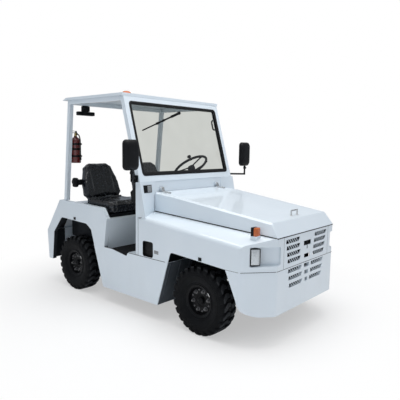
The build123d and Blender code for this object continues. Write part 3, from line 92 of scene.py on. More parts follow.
class Tree:
    """A node tree with short ways to add and join nodes."""

    def __init__(self, owner):
        owner.use_nodes = True
        self.tree = owner.node_tree
        self.tree.nodes.clear()

    def add(self, kind, inputs=None, **settings):
        node = self.tree.nodes.new(kind)
        for key, value in settings.items():
            setattr(node, key, value)
        for key, value in (inputs or {}).items():
            node.inputs[key].default_value = value
        return node

    def join(self, source, out_key, target, in_key):
        """Joins an output to an input, each given by name or number."""
        self.tree.links.new(source.outputs[out_key], target.inputs[in_key])


class Shader(Tree):
    """A material's node tree with a principled surface."""

    def __init__(self, name):
        self.material = bpy.data.materials.new(name)
        super().__init__(self.material)
        self.output = self.add("ShaderNodeOutputMaterial")
        self.body = self.add("ShaderNodeBsdfPrincipled")
        self.join(self.body, "BSDF", self.output, "Surface")
        self.place = self.add("ShaderNodeTexCoord")

    def noise(self, scale, detail=3.0, stretch=(1, 1, 1)):
        """A noise texture in the object's own metres."""
        mapping = self.add("ShaderNodeMapping", {"Scale": stretch})
        self.join(self.place, "Object", mapping, "Vector")
        texture = self.add("ShaderNodeTexNoise", {"Scale": scale, "Detail": detail})
        self.join(mapping, "Vector", texture, "Vector")
        return texture

    def spread(self, source, out_name, low, high, out_low, out_high):
        """Maps a value from one range to another, clamped."""
        node = self.add("ShaderNodeMapRange", {
            "From Min": low, "From Max": high, "To Min": out_low, "To Max": out_high})
        self.join(source, out_name, node, "Value")
        return node

    def blend(self, factor, first, second):
        """A colour between two, which are colours or nodes with a colour output."""
        node = self.add("ShaderNodeMix", data_type="RGBA")
        self.join(factor, 0, node, "Factor")
        for slot, value in ((6, first), (7, second)):
            if isinstance(value, tuple):
                node.inputs[slot].default_value = (*value, 1)
            else:
                self.join(value, 2, node, slot)
        return node

    def bump(self, texture, out_name, strength, distance):
        node = self.add("ShaderNodeBump", {"Strength": strength, "Distance": distance})
        self.join(texture, out_name, node, "Height")
        return node

    def mix_out(self, factor, out_key, first, second):
        """The material's surface as a mix of two shaders."""
        mix = self.add("ShaderNodeMixShader")
        self.join(factor, out_key, mix, "Fac")
        self.join(first, 0, mix, 1)
        self.join(second, 0, mix, 2)
        self.join(mix, 0, self.output, "Surface")


def shaded(name, low, high, scale=6.0, rough=(0.4, 0.5), bump=0.1, grain=400.0, depth=0.0004,
           metal=0.0, coat=0.0, coat_rough=0.05, grime=0.0, specular=0.5):
    """A painted, moulded or cast surface: mottled colour, uneven roughness and a fine grain."""
    s = Shader(name)
    tint = s.blend(s.spread(s.noise(scale, 5), "Fac", 0.3, 0.7, 0, 1), low, high)
    if grime:
        split = s.add("ShaderNodeSeparateXYZ")
        s.join(s.place, "Object", split, "Vector")
        amount = s.add("ShaderNodeMath", operation="MULTIPLY")
        s.join(s.spread(split, "Z", 0.15, 0.75, 1, 0), "Result", amount, "Value")
        s.join(s.spread(s.noise(9.0, 8, (1, 1, 0.5)), "Fac", 0.4, 0.75, 0, grime), 0, amount, 1)
        tint = s.blend(amount, tint, (0.35, 0.33, 0.30))
    s.join(tint, 2, s.body, "Base Color")
    s.join(s.spread(s.noise(scale * 3, 6), "Fac", 0.3, 0.7, *rough), 0, s.body, "Roughness")
    s.join(s.bump(s.noise(grain, 2), "Fac", bump, depth), "Normal", s.body, "Normal")
    for key, value in (("Metallic", metal), ("Coat Weight", coat), ("Coat Roughness", coat_rough),
                       ("Specular IOR Level", specular)):
        s.body.inputs[key].default_value = value
    return s


def surface(*values, **named):
    return shaded(*values, **named).material


def metal(name, low, high, rough, scale=30, bump=0.1):
    return surface(name, low, high, scale, rough, bump, 900, 0.0002, metal=1.0)


def lens_plastic(name, low, high):
    return surface(name, low, high, 12, (0.12, 0.2), 0.1, 300, 0.0004, coat=0.5)


# Where the rear wheels' housings are, for the painted shade inside them
HOUSING_IN_Y, HOUSING_OUT_Y, HOUSING_TOP_Z = 0.466, 0.6445, 0.7675

WHITE = dict(low=(0.700, 0.775, 0.838), high=(0.730, 0.800, 0.858), scale=3.0, rough=(0.30, 0.38), bump=0.04,
             grain=260, depth=0.0006, coat=0.6, coat_rough=0.04, grime=0.06)


def seat_vinyl():
    """Black vinyl with soft creases under its coat too."""
    s = shaded("seat_vinyl", (0.0030, 0.0036, 0.0058), (0.006, 0.007, 0.0105), 10, (0.22, 0.34), 0.0, 700,
               0.0002, coat=0.45, coat_rough=0.10, specular=0.4)
    folds = s.spread(s.noise(6, 1.0, (1, 2.2, 0.4)), "Fac", 0.40, 0.60, 0, 1)
    creases = s.bump(folds, "Result", 0.22, 0.006)
    s.join(creases, "Normal", s.body, "Normal")
    s.join(creases, "Normal", s.body, "Coat Normal")
    return s.material


def tinted_glass():
    """Thin tinted glass that keeps the sky's reflection at a slant."""
    s = Shader("tinted_glass")
    clear = s.add("ShaderNodeBsdfTransparent")
    smear = s.noise(4, 6)
    tint = s.blend(s.spread(smear, "Fac", 0.35, 0.7, 0, 1), (0.805, 0.815, 0.795), (0.785, 0.795, 0.775))
    s.join(tint, 2, clear, "Color")
    gloss = s.add("ShaderNodeBsdfGlossy")
    s.join(s.spread(smear, "Fac", 0.3, 0.7, 0.01, 0.04), 0, gloss, "Roughness")
    s.join(s.bump(s.noise(5, 1), "Fac", 0.02, 0.001), "Normal", gloss, "Normal")
    edge = s.add("ShaderNodeFresnel")
    s.join(s.spread(s.add("ShaderNodeNewGeometry"), "Backfacing", 0, 1, 1.45, 1 / 1.45), 0, edge, "IOR")
    s.mix_out(edge, "Fac", clear, gloss)
    s.tree.nodes.remove(s.body)
    return s.material


def white_with_painted_housing_shade():
    """White paint with painted shade: near-black on the faces round the rear wheels, where the housings lie
    in shade.
    """
    s = shaded("white_paint_with_painted_shade", **WHITE)
    spot = s.add("ShaderNodeNewGeometry")
    where = s.add("ShaderNodeSeparateXYZ")
    s.join(spot, "Position", where, "Vector")
    facing = s.add("ShaderNodeSeparateXYZ")
    s.join(spot, "True Normal", facing, "Vector")

    def calc(operation, *values):
        node = s.add("ShaderNodeMath", operation=operation)
        for slot, value in enumerate(values):
            if isinstance(value, (int, float)):
                node.inputs[slot].default_value = value
            else:
                s.tree.links.new(value, node.inputs[slot])
        return node.outputs[0]

    # Faces inside the rear housings that face sideways or down, and forward-facing ones behind the axle, take
    # painted shade, a mottled near-black, instead of white
    off = calc("ABSOLUTE", where.outputs["Y"])
    inside = calc("MULTIPLY", calc("GREATER_THAN", off, HOUSING_IN_Y), calc("LESS_THAN", off, HOUSING_OUT_Y))
    inside = calc("MULTIPLY", inside, calc("LESS_THAN", where.outputs["Z"], HOUSING_TOP_Z))
    sideways = calc("GREATER_THAN", calc("ABSOLUTE", facing.outputs["Y"]), 0.5)
    under = calc("LESS_THAN", facing.outputs["Z"], -0.3)
    tail_end = calc("MULTIPLY", calc("GREATER_THAN", facing.outputs["X"], 0.3),
                    calc("LESS_THAN", where.outputs["X"], REAR_AXLE_X))
    dark = calc("MULTIPLY", inside, calc("MAXIMUM", calc("MAXIMUM", sideways, under), tail_end))
    housing_shade = s.add("ShaderNodeBsdfPrincipled", {"Roughness": 0.6, "Specular IOR Level": 0.2})
    shade_mottle = s.spread(s.noise(9, 5), "Fac", 0.35, 0.65, 0, 1)
    shade = s.blend(shade_mottle, (0.010, 0.012, 0.015), (0.022, 0.025, 0.030))
    s.join(shade, 2, housing_shade, "Base Color")
    s.mix_out(dark.node, 0, s.body, housing_shade)
    return s.material


by_slot = {
    "white_paint": surface("white_gloss_paint", **WHITE),
    "black_paint": surface("black_satin_paint", (0.0022, 0.0026, 0.0034), (0.004, 0.0045, 0.0056), 8,
                           (0.35, 0.5), 0.1, 500, 0.0004, grime=0.004, specular=0.15),
    "steel": metal("bright_steel", (0.50, 0.50, 0.50), (0.62, 0.62, 0.61), (0.25, 0.42), bump=0.12),
    "cast_iron": surface("cast_iron", (0.02, 0.02, 0.021), (0.04, 0.04, 0.041), 20, (0.6, 0.8), 0.4, 300,
                         0.0008),
    "tyre_rubber": surface("tyre_rubber", (0.0026, 0.003, 0.0038), (0.0048, 0.0054, 0.0066), 14,
                           (0.45, 0.65), 0.25, 700, 0.0005, specular=0.10),
    "rubber": surface("black_rubber", (0.004, 0.004, 0.0045), (0.008, 0.008, 0.0085), 20, (0.5, 0.7), 0.2,
                      800, 0.0003, specular=0.25),
    "glass": tinted_glass(),
    "seat_vinyl": seat_vinyl(),
    "black_plastic": surface("black_plastic", (0.003, 0.0034, 0.0044), (0.005, 0.0056, 0.0068), 15,
                             (0.42, 0.55), 0.2, 1200, 0.0002, specular=0.2),
    "amber_lens": lens_plastic("amber_lens", (0.50, 0.10, 0.012), (0.58, 0.13, 0.018)),
    "red_lens": lens_plastic("red_lens", (0.40, 0.010, 0.008), (0.5, 0.016, 0.010)),
    "red_paint": surface("red_paint", (0.085, 0.004, 0.004), (0.115, 0.006, 0.005), 10, (0.2, 0.3), 0.04,
                         500, 0.0003, coat=0.6),
}
rubber = by_slot["rubber"]
dark_steel = metal("dark_steel", (0.11, 0.11, 0.115), (0.21, 0.21, 0.215), (0.28, 0.45))
light_steel = metal("plated_steel", (0.66, 0.66, 0.65), (0.76, 0.76, 0.75), (0.2, 0.35), bump=0.08)
brass = metal("brass", (0.42, 0.33, 0.14), (0.52, 0.42, 0.20), (0.25, 0.4), 40)
# Lighter rubber for the lugs' outer faces: partly dust, partly painted light on the tread
tread_dust_and_painted_light = surface("tread_dust_and_painted_light", (0.014, 0.0155, 0.018), (0.024, 0.026, 0.029), 14, (0.55, 0.75),
                       0.25, 700, 0.0005, specular=0.25)
# Dark grey for the sheets on the skirts' slanted end plates: painted shade, where these white plates lie in
# shadow
arch_painted_shade_grey = surface("arch_painted_shade_grey", (0.050, 0.062, 0.075), (0.075, 0.088, 0.102), 9, (0.5, 0.65), 0.2, 500,
                     0.0004, grime=0.05)
tag_grey = surface("tag_grey", (0.20, 0.21, 0.22), (0.30, 0.31, 0.32), 60, (0.4, 0.5), 0.1, 900, 0.0002)
mirror_glass = surface("mirror_glass", (0.86, 0.87, 0.88), (0.90, 0.91, 0.92), 6, (0.02, 0.05), 0.01, 40,
                       0.0002, metal=1.0)
lens_glass = surface("lamp_glass", (0.50, 0.54, 0.57), (0.68, 0.72, 0.75), 90, (0.10, 0.22), 0.25, 160,
                     0.0008, metal=0.55, coat=0.9, coat_rough=0.03)
# Grille fins in a grey-blue darker than the body's white: painted shade, as the fins sit recessed in the
# slots
fin_painted_shade = surface("fin_painted_shade", (0.43, 0.48, 0.53), (0.49, 0.54, 0.59), 6.0, (0.35, 0.45), 0.04, 260,
                    0.0004, grime=0.08)
# White paint with painted shade inside the rear wheel housings
white_housing_shaded = white_with_painted_housing_shade()
own_paint = {"grille_fins": fin_painted_shade}
for name in ("seat_deck", "rear_fenders", "side_skirts", "rear_panel", "rear_bumper"):
    own_paint[name] = white_housing_shaded
for subpart in frame["record"]["subparts"]:
    for slot in nodes[subpart["node"]].material_slots:
        slot.material = own_paint.get(subpart["node"], by_slot[subpart["material_slot"]])


# Making pieces


def walls(rings, sides, joined=False):
    """Faces between rings of vertices that follow each other, from the last to the first too where joined."""
    faces = []
    for k in range(rings if joined else rings - 1):
        m = (k + 1) % rings
        for i in range(sides):
            j = (i + 1) % sides
            faces.append((k * sides + i, k * sides + j, m * sides + j, m * sides + i))
    return faces


def ends(rings, sides):
    """The faces that close the first and the last ring."""
    return [tuple(reversed(range(sides))), tuple((rings - 1) * sides + i for i in range(sides))]


def stud(radius, rise, top, height, foot=0.0, crown=0.0):
    """The profile of a round head: straight to rise, then in to the top's radius; crown lifts its middle."""
    return [(0.0, foot), (radius, foot), (radius, foot + rise), (top, foot + height),
            (0.0, foot + height + crown)]


class Shape:
    """Vertices and faces gathered for one piece."""

    def __init__(self):
        self.verts = []
        self.faces = []

    def add(self, verts, faces, place=None):
        base = len(self.verts)
        self.verts += [tuple(place @ Vector(v)) if place is not None else tuple(v) for v in verts]
        self.faces += [tuple(base + i for i in face) for face in faces]

    def turned(self, profile, sides, place=None, closed=False, ripple=0.0):
        """A profile of (radius, distance along Z) points turned about Z; ripple draws every second one in."""
        verts = []
        for i in range(sides):
            a = math.tau * i / sides
            share = 1 - ripple * (i % 2)
            verts += [(r * share * math.cos(a), r * share * math.sin(a), z) for r, z in profile]
        n = len(profile)
        faces = []
        for i in range(sides):
            j = (i + 1) % sides
            for k in range(n if closed else n - 1):
                m = (k + 1) % n
                faces.append((i * n + k, j * n + k, j * n + m, i * n + m))
        if not closed and profile[0][0] > 0:
            faces.append(tuple(i * n for i in range(sides)))
        if not closed and profile[-1][0] > 0:
            faces.append(tuple(i * n + n - 1 for i in reversed(range(sides))))
        self.add(verts, faces, place)

    def slab(self, size, bevel, place=None):
        """A box about the origin with its edges cut by bevel."""
        work = bmesh.new()
        bmesh.ops.create_cube(work, size=1.0)
        bmesh.ops.scale(work, vec=size, verts=work.verts)
        if bevel:
            bmesh.ops.bevel(work, geom=list(work.edges), offset=bevel, segments=2, profile=0.5,
                            affect="EDGES")
        work.verts.ensure_lookup_table()
        faces = [tuple(v.index for v in f.verts) for f in work.faces]
        self.add([tuple(v.co) for v in work.verts], faces, place)
        work.free()

    def eight(self, verts):
        """A block from the four corners of one end and the four of the other."""
        self.add(verts, [(0, 1, 2, 3), (4, 5, 6, 7), (0, 1, 5, 4), (1, 2, 6, 5), (2, 3, 7, 6), (3, 0, 4, 7)])

    def tube(self, points, radius, sides=12, closed=False):
        """A round bar along a line of points."""
        points = [Vector(p) for p in points]
        n = len(points)
        verts = []
        previous = None
        for i, p in enumerate(points):
            ahead = points[(i + 1) % n] if closed or i < n - 1 else p
            behind = points[i - 1] if closed or i > 0 else p
            run = (ahead - behind).normalized()
            if previous is None:
                side = run.orthogonal().normalized()
            else:
                side = (previous - run * previous.dot(run)).normalized()
            previous = side
            other = run.cross(side)
            for k in range(sides):
                a = math.tau * k / sides
                verts.append(p + radius * (math.cos(a) * side + math.sin(a) * other))
        self.add(verts, walls(n, sides, closed) + ([] if closed else ends(n, sides)))

    def make(self, name, slot_name, smooth=35, place=None, body="chassis", material=None):
        """The piece itself, which rides on a body; smooth is the angle in degrees under which faces blend."""
        mesh = bpy.data.meshes.new(name)
        verts = self.verts if place is None else [tuple(place @ Vector(v)) for v in self.verts]
        mesh.from_pydata(verts, [], self.faces)
        mesh.update()
        mesh.materials.append(material or by_slot[slot_name])
        work = bmesh.new()
        work.from_mesh(mesh)
        bmesh.ops.recalc_face_normals(work, faces=work.faces)
        work.to_mesh(mesh)
        work.free()
        item = bpy.data.objects.new(name, mesh)
        scene.collection.objects.link(item)
        if smooth is not None:
            mesh.shade_smooth()
            mesh.set_sharp_from_angle(angle=math.radians(smooth))
        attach(item, body)
        return item


def rounded_ring(half_w, half_h, radius, count=8):
    """Points of a rounded rectangle about the origin."""
    points = []
    for k, (sx, sy) in enumerate(((1, 1), (-1, 1), (-1, -1), (1, -1))):
        for i in range(count + 1):
            a = math.radians(90 * k + 90 * i / count)
            points.append((sx * (half_w - radius) + radius * math.cos(a),
                           sy * (half_h - radius) + radius * math.sin(a)))
    return points


def rounded_stack(shape, levels, place, count=8):
    """Rounded rectangles (half width, half height, radius, height) joined into a closed body."""
    verts = [(x, y, z) for w, h, r, z in levels for x, y in rounded_ring(w, h, r, count)]
    n = len(verts) // len(levels)
    shape.add(verts, walls(len(levels), n) + ends(len(levels), n), place)


def bolt(shape, place, across, height):
    """A hexagon head on a washer."""
    washer = 0.0015
    shape.turned([(0.0, 0.0), (across * 1.25, 0.0), (across * 1.25, washer), (0.0, washer)], 20, place)
    head = height - washer
    shape.turned(stud(across, head - 0.001, across * 0.85, head, foot=washer), 6, place)


# Wheels

TYRE_R = 0.270
TREAD_BASE_R = 0.257
SHOULDER_R = 0.238
LUGS = 24
LUG_STEPS = 12
LUG_OUTER_Y = 0.0748
LUG_REACH = 0.0718
SHOULDER_SHARE = 0.16


def lug_points(hand, middle):
    """Points of one curved lug of one half, in rings of six from the shoulder to near the tyre's middle."""
    points = []
    for k in range(LUG_STEPS + 1):
        t = k / LUG_STEPS
        angle = middle + 0.10 * math.sin(math.pi * (t - 0.2) * 0.9) * hand
        width = 0.060 + 0.020 * math.sin(math.pi * min(1, t * 1.2))
        top = TYRE_R - 0.0022 * (1 - t) ** 2
        if t < SHOULDER_SHARE:
            top = SHOULDER_R + (TYRE_R - 0.0018 - SHOULDER_R) * (t / SHOULDER_SHARE) ** 0.45
        base = min(TREAD_BASE_R - 0.004, 0.228 + 0.2 * t)
        flank = ((base, 1.16), (top - 0.003, 1.0), (top, 0.88))
        for r, w in flank + tuple((r, -w) for r, w in reversed(flank)):
            a = angle + w * width
            points.append((r * math.cos(a), r * math.sin(a), hand * (LUG_OUTER_Y - LUG_REACH * t)))
    return points


def tyre(name, body, node, place):
    """A lugged tyre: a carcass with beads and sidewall rings, and curved lugs that run over the shoulder."""
    work = Shape()
    half = [(0.1145, 0.048), (0.1145, 0.0565), (0.131, 0.0575), (0.136, 0.0612), (0.142, 0.0622),
            (0.144, 0.0612), (0.162, 0.069), (0.185, 0.0735), (0.1935, 0.0742), (0.1945, 0.0752),
            (0.1985, 0.0752), (0.1995, 0.0742), (0.206, 0.0748), (0.2075, 0.0735), (0.2095, 0.0748),
            (0.225, 0.0735), (0.240, 0.069), (0.250, 0.060), (TREAD_BASE_R, 0.045),
            (TREAD_BASE_R + 0.001, 0.0)]
    work.turned(half + [(r, -y) for r, y in reversed(half[:-1])], 96, closed=True)
    for hand, pitch_share in ((1, 0.0), (-1, 0.5)):
        for i in range(LUGS):
            points = lug_points(hand, math.tau * (i + pitch_share) / LUGS)
            work.add(points, walls(LUG_STEPS + 1, 6) + ends(LUG_STEPS + 1, 6))
    item = work.make(name, "tyre_rubber", 32, place, body)
    item.data.materials.append(tread_dust_and_painted_light)
    # The lugs' outer faces take the lighter tread rubber: partly dust, partly painted light
    to_wheel = place.inverted()
    for face in item.data.polygons:
        spot = to_wheel @ face.center
        if math.hypot(spot.x, spot.y) > TREAD_BASE_R + 0.006:
            face.material_index = 1
    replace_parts(item, node)


def rim(name, body, node, place):
    """A disc rim: rounded lips, a drop well, a dished disc, nuts and a hub cap."""
    work = Shape()
    work.turned([
        (0.030, 0.0135), (0.030, 0.0245), (0.044, 0.0245), (0.050, 0.0300), (0.062, 0.0315),
        (0.092, 0.0300), (0.098, 0.0255), (0.103, 0.0250), (0.1065, 0.0290), (0.1080, 0.0500),
        (0.1095, 0.0560), (0.1150, 0.0590), (0.1240, 0.0600), (0.1275, 0.0625), (0.1300, 0.0610),
        (0.1302, 0.0575), (0.1180, 0.0565), (0.1140, 0.0540), (0.1140, -0.0540), (0.1180, -0.0565),
        (0.1302, -0.0575), (0.1300, -0.0615), (0.1240, -0.0625),
        (0.1120, -0.0600), (0.1080, -0.0560), (0.1080, 0.0080), (0.1040, 0.0130)], 72, closed=True)
    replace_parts(work.make(name, "black_paint", 30, place, body), node)
    nuts = Shape()
    for i in range(6):
        a = math.tau * i / 6 + 0.2
        spot = move(0.077 * math.cos(a), 0.077 * math.sin(a), 0.0308)
        nuts.turned([(0.0165, 0), (0.0165, 0.002), (0.0145, 0.003), (0.0, 0.003)], 20, spot)
        nuts.turned([(0.0125, 0.002), (0.0125, 0.014), (0.0105, 0.0165), (0.0065, 0.0170), (0.0065, 0.022),
                     (0.0055, 0.0235), (0.0, 0.0235)], 6, spot)
        b = a + math.pi / 6
        nuts.turned([(0.0075, 0), (0.0075, 0.006), (0.0055, 0.0075), (0.0, 0.0078)], 6,
                    move(0.084 * math.cos(b), 0.084 * math.sin(b), 0.0300))
    nuts.make(name + "_nuts", "steel", 30, place, body, dark_steel)
    cap = Shape()
    cap.turned([(0.0, 0.052), (0.010, 0.0515), (0.020, 0.049), (0.0265, 0.043), (0.029, 0.034),
                (0.029, 0.024), (0.0335, 0.0235), (0.0335, 0.0215), (0.0, 0.0215)], 40)
    cap.turned([(0.0, 0.057), (0.004, 0.0568), (0.0055, 0.055), (0.0055, 0.050)], 16)
    cap.make(name + "_hub_cap", "black_paint", 30, place, body)
    valve = Shape()
    valve.tube([(0.100, 0.0, 0.030), (0.103, 0.0, 0.046), (0.110, 0.0, 0.060)], 0.0028, 10)
    valve.turned([(0.0038, 0), (0.0038, 0.010), (0.0030, 0.0115), (0.0, 0.0115)], 12,
                 move(0.1085, 0.0, 0.058) @ turn(0.35, "Y"))
    valve.make(name + "_valve", "rubber", 40, place, body)
    # A small bright steel clip on the rim's lip: partly a wheel weight clip, partly a painted glint
    clip = Shape()
    clip.slab((0.006, 0.030, 0.004), 0.001, turn(math.radians(36), "Z") @ move(0.1265, 0, 0.0632))
    clip.make(name + "_weight_clip_and_painted_glint", "steel", 40, place, body, light_steel)


for end, x in (("front", FRONT_AXLE_X), ("rear", REAR_AXLE_X)):
    for hand, side in HANDS:
        wheel_body = f"wheel_{end}_{hand}"
        outboard = move(x, side * WHEEL_Y, AXLE_Z) @ turn(-side * math.pi / 2, "X")
        tyre(f"lugged_tyre_{end}_{hand}", wheel_body, f"tyre_{end}_{hand}", outboard)
        rim(f"disc_rim_{end}_{hand}", wheel_body, f"rim_{end}_{hand}", outboard)


# Seats

SEAT_Y = 0.320
LEAN = math.radians(20)
PAD_SHRINK = 0.006
PAD_SWELL = 0.024
WRINKLE = 0.0014


def bake(item):
    """Puts an object's modifiers into its mesh."""
    graph = bpy.context.evaluated_depsgraph_get()
    graph.update()
    made = bpy.data.meshes.new_from_object(item.evaluated_get(graph))
    item.modifiers.clear()
    old = item.data
    item.data = made
    made.name = old.name
    bpy.data.meshes.remove(old)


def swell(item):
    """Blows the pad up as cloth, by no more than the allowed swell."""
    before = [v.co.copy() for v in item.data.vertices]
    cloth = item.modifiers.new("cloth", "CLOTH")
    cloth.settings.use_pressure = True
    cloth.settings.uniform_pressure_force = 4
    cloth.settings.tension_stiffness = 12
    cloth.settings.compression_stiffness = 12
    cloth.settings.bending_stiffness = 0.4
    cloth.settings.effector_weights.gravity = 0
    cloth.settings.quality = 5
    for step in range(1, 21):
        scene.frame_set(step)
    bake(item)
    scene.frame_set(1)
    for v, start in zip(item.data.vertices, before):
        pushed = v.co - start
        if pushed.length > PAD_SWELL:
            v.co = start + pushed.normalized() * PAD_SWELL


def seat_pad(name, node, side, place, shape):
    """A padded seat part: the solid's copy made smaller, blown up, held to its limits and given seams."""
    mesh = nodes[node].data.copy()
    mesh.name = name
    work = bmesh.new()
    work.from_mesh(mesh)
    bmesh.ops.delete(work, geom=[v for v in work.verts if v.co.y * side < 0], context="VERTS")
    bmesh.ops.remove_doubles(work, verts=work.verts, dist=0.0001)
    bmesh.ops.transform(work, matrix=place.inverted(), verts=work.verts)
    low = [min(v.co[k] for v in work.verts) for k in range(3)]
    high = [max(v.co[k] for v in work.verts) for k in range(3)]
    for v in work.verts:
        for k in range(3):
            mid = (low[k] + high[k]) / 2
            v.co[k] = mid + (v.co[k] - mid) * (1 - 2 * PAD_SHRINK / (high[k] - low[k]))
    work.to_mesh(mesh)
    work.free()
    item = bpy.data.objects.new(name, mesh)
    scene.collection.objects.link(item)
    remesh = item.modifiers.new("remesh", "REMESH")
    remesh.mode = "VOXEL"
    remesh.voxel_size = 0.008
    bake(item)
    swell(item)
    smooth = item.modifiers.new("smooth", "SMOOTH")
    smooth.iterations = 3
    subdivide = item.modifiers.new("subdivide", "SUBSURF")
    subdivide.levels = subdivide.render_levels = 1
    bake(item)
    item.data.update()
    starts = [(v.co.copy(), v.normal.copy()) for v in item.data.vertices]
    for v, (co, normal) in zip(item.data.vertices, starts):
        v.co = shape(co, normal, low, high)
    item.data.transform(place)
    item.data.materials.clear()
    item.data.materials.append(by_slot["seat_vinyl"])
    item.data.shade_smooth()
    item.data.update()
    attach(item, "chassis")
    return item


def groove(distance, width, depth):
    """How far a seam pulls the cover in at a distance from its line."""
    return depth * math.exp(-((distance / width) ** 2))


def crumple(co):
    """Loose wrinkles of a wrapped cover: soft waves with a few long creases."""
    wave = noise.noise(Vector((co.x * 7 + 3.1, co.y * 11, co.z * 6)))
    crease = abs(noise.noise(Vector((co.x * 11 - co.y * 9, co.y * 13 + co.x * 7, co.z * 5 + 5))))
    return WRINKLE * (0.7 * wave - 1.1 * math.exp(-((crease / 0.05) ** 2)))


def bolster(off, start):
    """How much of a bolster's height stands at a distance from the seat's middle."""
    return min(1, max(0, (off - start) / 0.05))


def hold(co, low, high, reach, resting):
    """Keeps a point within reach of the plain pad, and out of the face that it rests on."""
    for k in range(3):
        co[k] = min(max(co[k], low[k] - (0 if k == resting else reach[k])), high[k] + reach[k])
    return co


def cushion_shape(co, normal, low, high):
    """Bolsters, seams and limits of a seat cushion in its own frame: X forward, Z up."""
    up = max(0.0, normal.z)
    along, off = co.x, abs(co.y)
    pull = groove(off - 0.135, 0.007, 0.012)
    if off < 0.135:
        pull = max([pull] + [groove(along - line, 0.006, 0.009) for line in (-0.10, -0.02, 0.06)])
    pull = max(pull, groove(along - 0.145, 0.007, 0.010))
    co.z -= pull * up
    co.z += 0.012 * up * bolster(off, 0.14) - 0.004 * up
    co.z += 0.014 * up * max(0, 1 - (along - low[0]) / (high[0] - low[0]) / 0.4)
    co += normal * crumple(co)
    return hold(co, low, high, (0.008, 0.008, 0.012), 2)


def back_shape(co, normal, low, high):
    """Bolsters, seams and limits of a seat back in its own frame: X out of the back, Z up along it."""
    out = max(0.0, normal.x)
    off, height = abs(co.y), co.z
    pull = groove(off - 0.125 + 0.05 * max(0, height - 0.2), 0.007, 0.013) if height < 0.33 else 0
    if off < 0.12 and height < 0.34:
        pull = max([pull] + [groove(height - line, 0.006, 0.010) for line in (0.09, 0.16, 0.23, 0.30)])
    co.x -= pull * out
    co.x += 0.010 * out * bolster(off, 0.13)
    foot = max(0, 1 - (height - low[2]) / (0.3 * (high[2] - low[2])))
    co.z -= 0.020 * foot
    co.x += 0.006 * foot * out
    co += normal * crumple(co)
    return hold(co, low, high, (0.008, 0.008, 0.018), 0)


for hand, side in HANDS:
    cushion_place = move(at(0.27), side * SEAT_Y, 0.850)
    cushion = seat_pad(f"seat_cushion_{hand}", "seat_cushions", side, cushion_place, cushion_shape)
    back_place = move(at(0.095), side * SEAT_Y, 0.920) @ turn(-LEAN, "Y")
    back_pad = seat_pad(f"seat_back_{hand}", "seat_backs", side, back_place, back_shape)
    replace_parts(cushion, "seat_cushions")
    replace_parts(back_pad, "seat_backs")
    fold_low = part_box("seat_cushions")[1][2] - 0.022
    fold_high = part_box("seat_backs")[0][2] + 0.016
    valance = Shape()
    for k in range(5):
        level = fold_low * (1 - k / 4) + fold_high * k / 4
        valance.slab((0.050 - 0.006 * (k % 2), 0.40 - 0.010 * (k % 2), 0.026), 0.010,
                     move(at(0.088), side * SEAT_Y, level) @ turn(-LEAN, "Y"))
    valance.make(f"seat_valance_{hand}", "seat_vinyl", 40)


# Head lamps and turn lamps

LAMP_OUT_Y, LAMP_IN_Y = 0.586, 0.531
LAMP_LOW_Z, LAMP_HIGH_Z = 0.620, 0.744
LAMP_SET_BACK = 0.004
TURN_LAMP_Z = 0.851
HOOD_START_U, HOOD_RUN = 0.969, 1.237


def corner_at(y):
    """X of the nose's cut corner at a width."""
    return at(2.030 + 0.176 * (BODY_Y - y) / 0.206)


def seam_height(u):
    """Height of the hood's side seam at a station."""
    return 0.874 + (0.810 - 0.874) * (u - HOOD_START_U) / HOOD_RUN


def shoulder_height(u):
    """Height of the fender shoulder's outer edge at a station."""
    return 0.861 + (0.742 - 0.861) * (u - HOOD_START_U) / HOOD_RUN


def ribbed_lens(half_w, half_h):
    """A crowned lamp lens with upright ribs and fine cross ribs."""
    columns, rows = 22, 20
    verts = []
    for j in range(rows + 1):
        for i in range(columns + 1):
            a, b = i / columns * 2 - 1, j / rows * 2 - 1
            ripple = 0.0012 * (i % 2) + 0.0005 * (j % 2)
            crown = 0.003 * (1 - a * a) * (1 - b * b)
            verts.append((a * half_w, b * half_h, 0.0005 + ripple + crown))
    step = columns + 1
    faces = [(j * step + i, j * step + i + 1, (j + 1) * step + i + 1, (j + 1) * step + i)
             for j in range(rows) for i in range(columns)]
    lens = Shape()
    lens.add(verts, faces)
    return lens


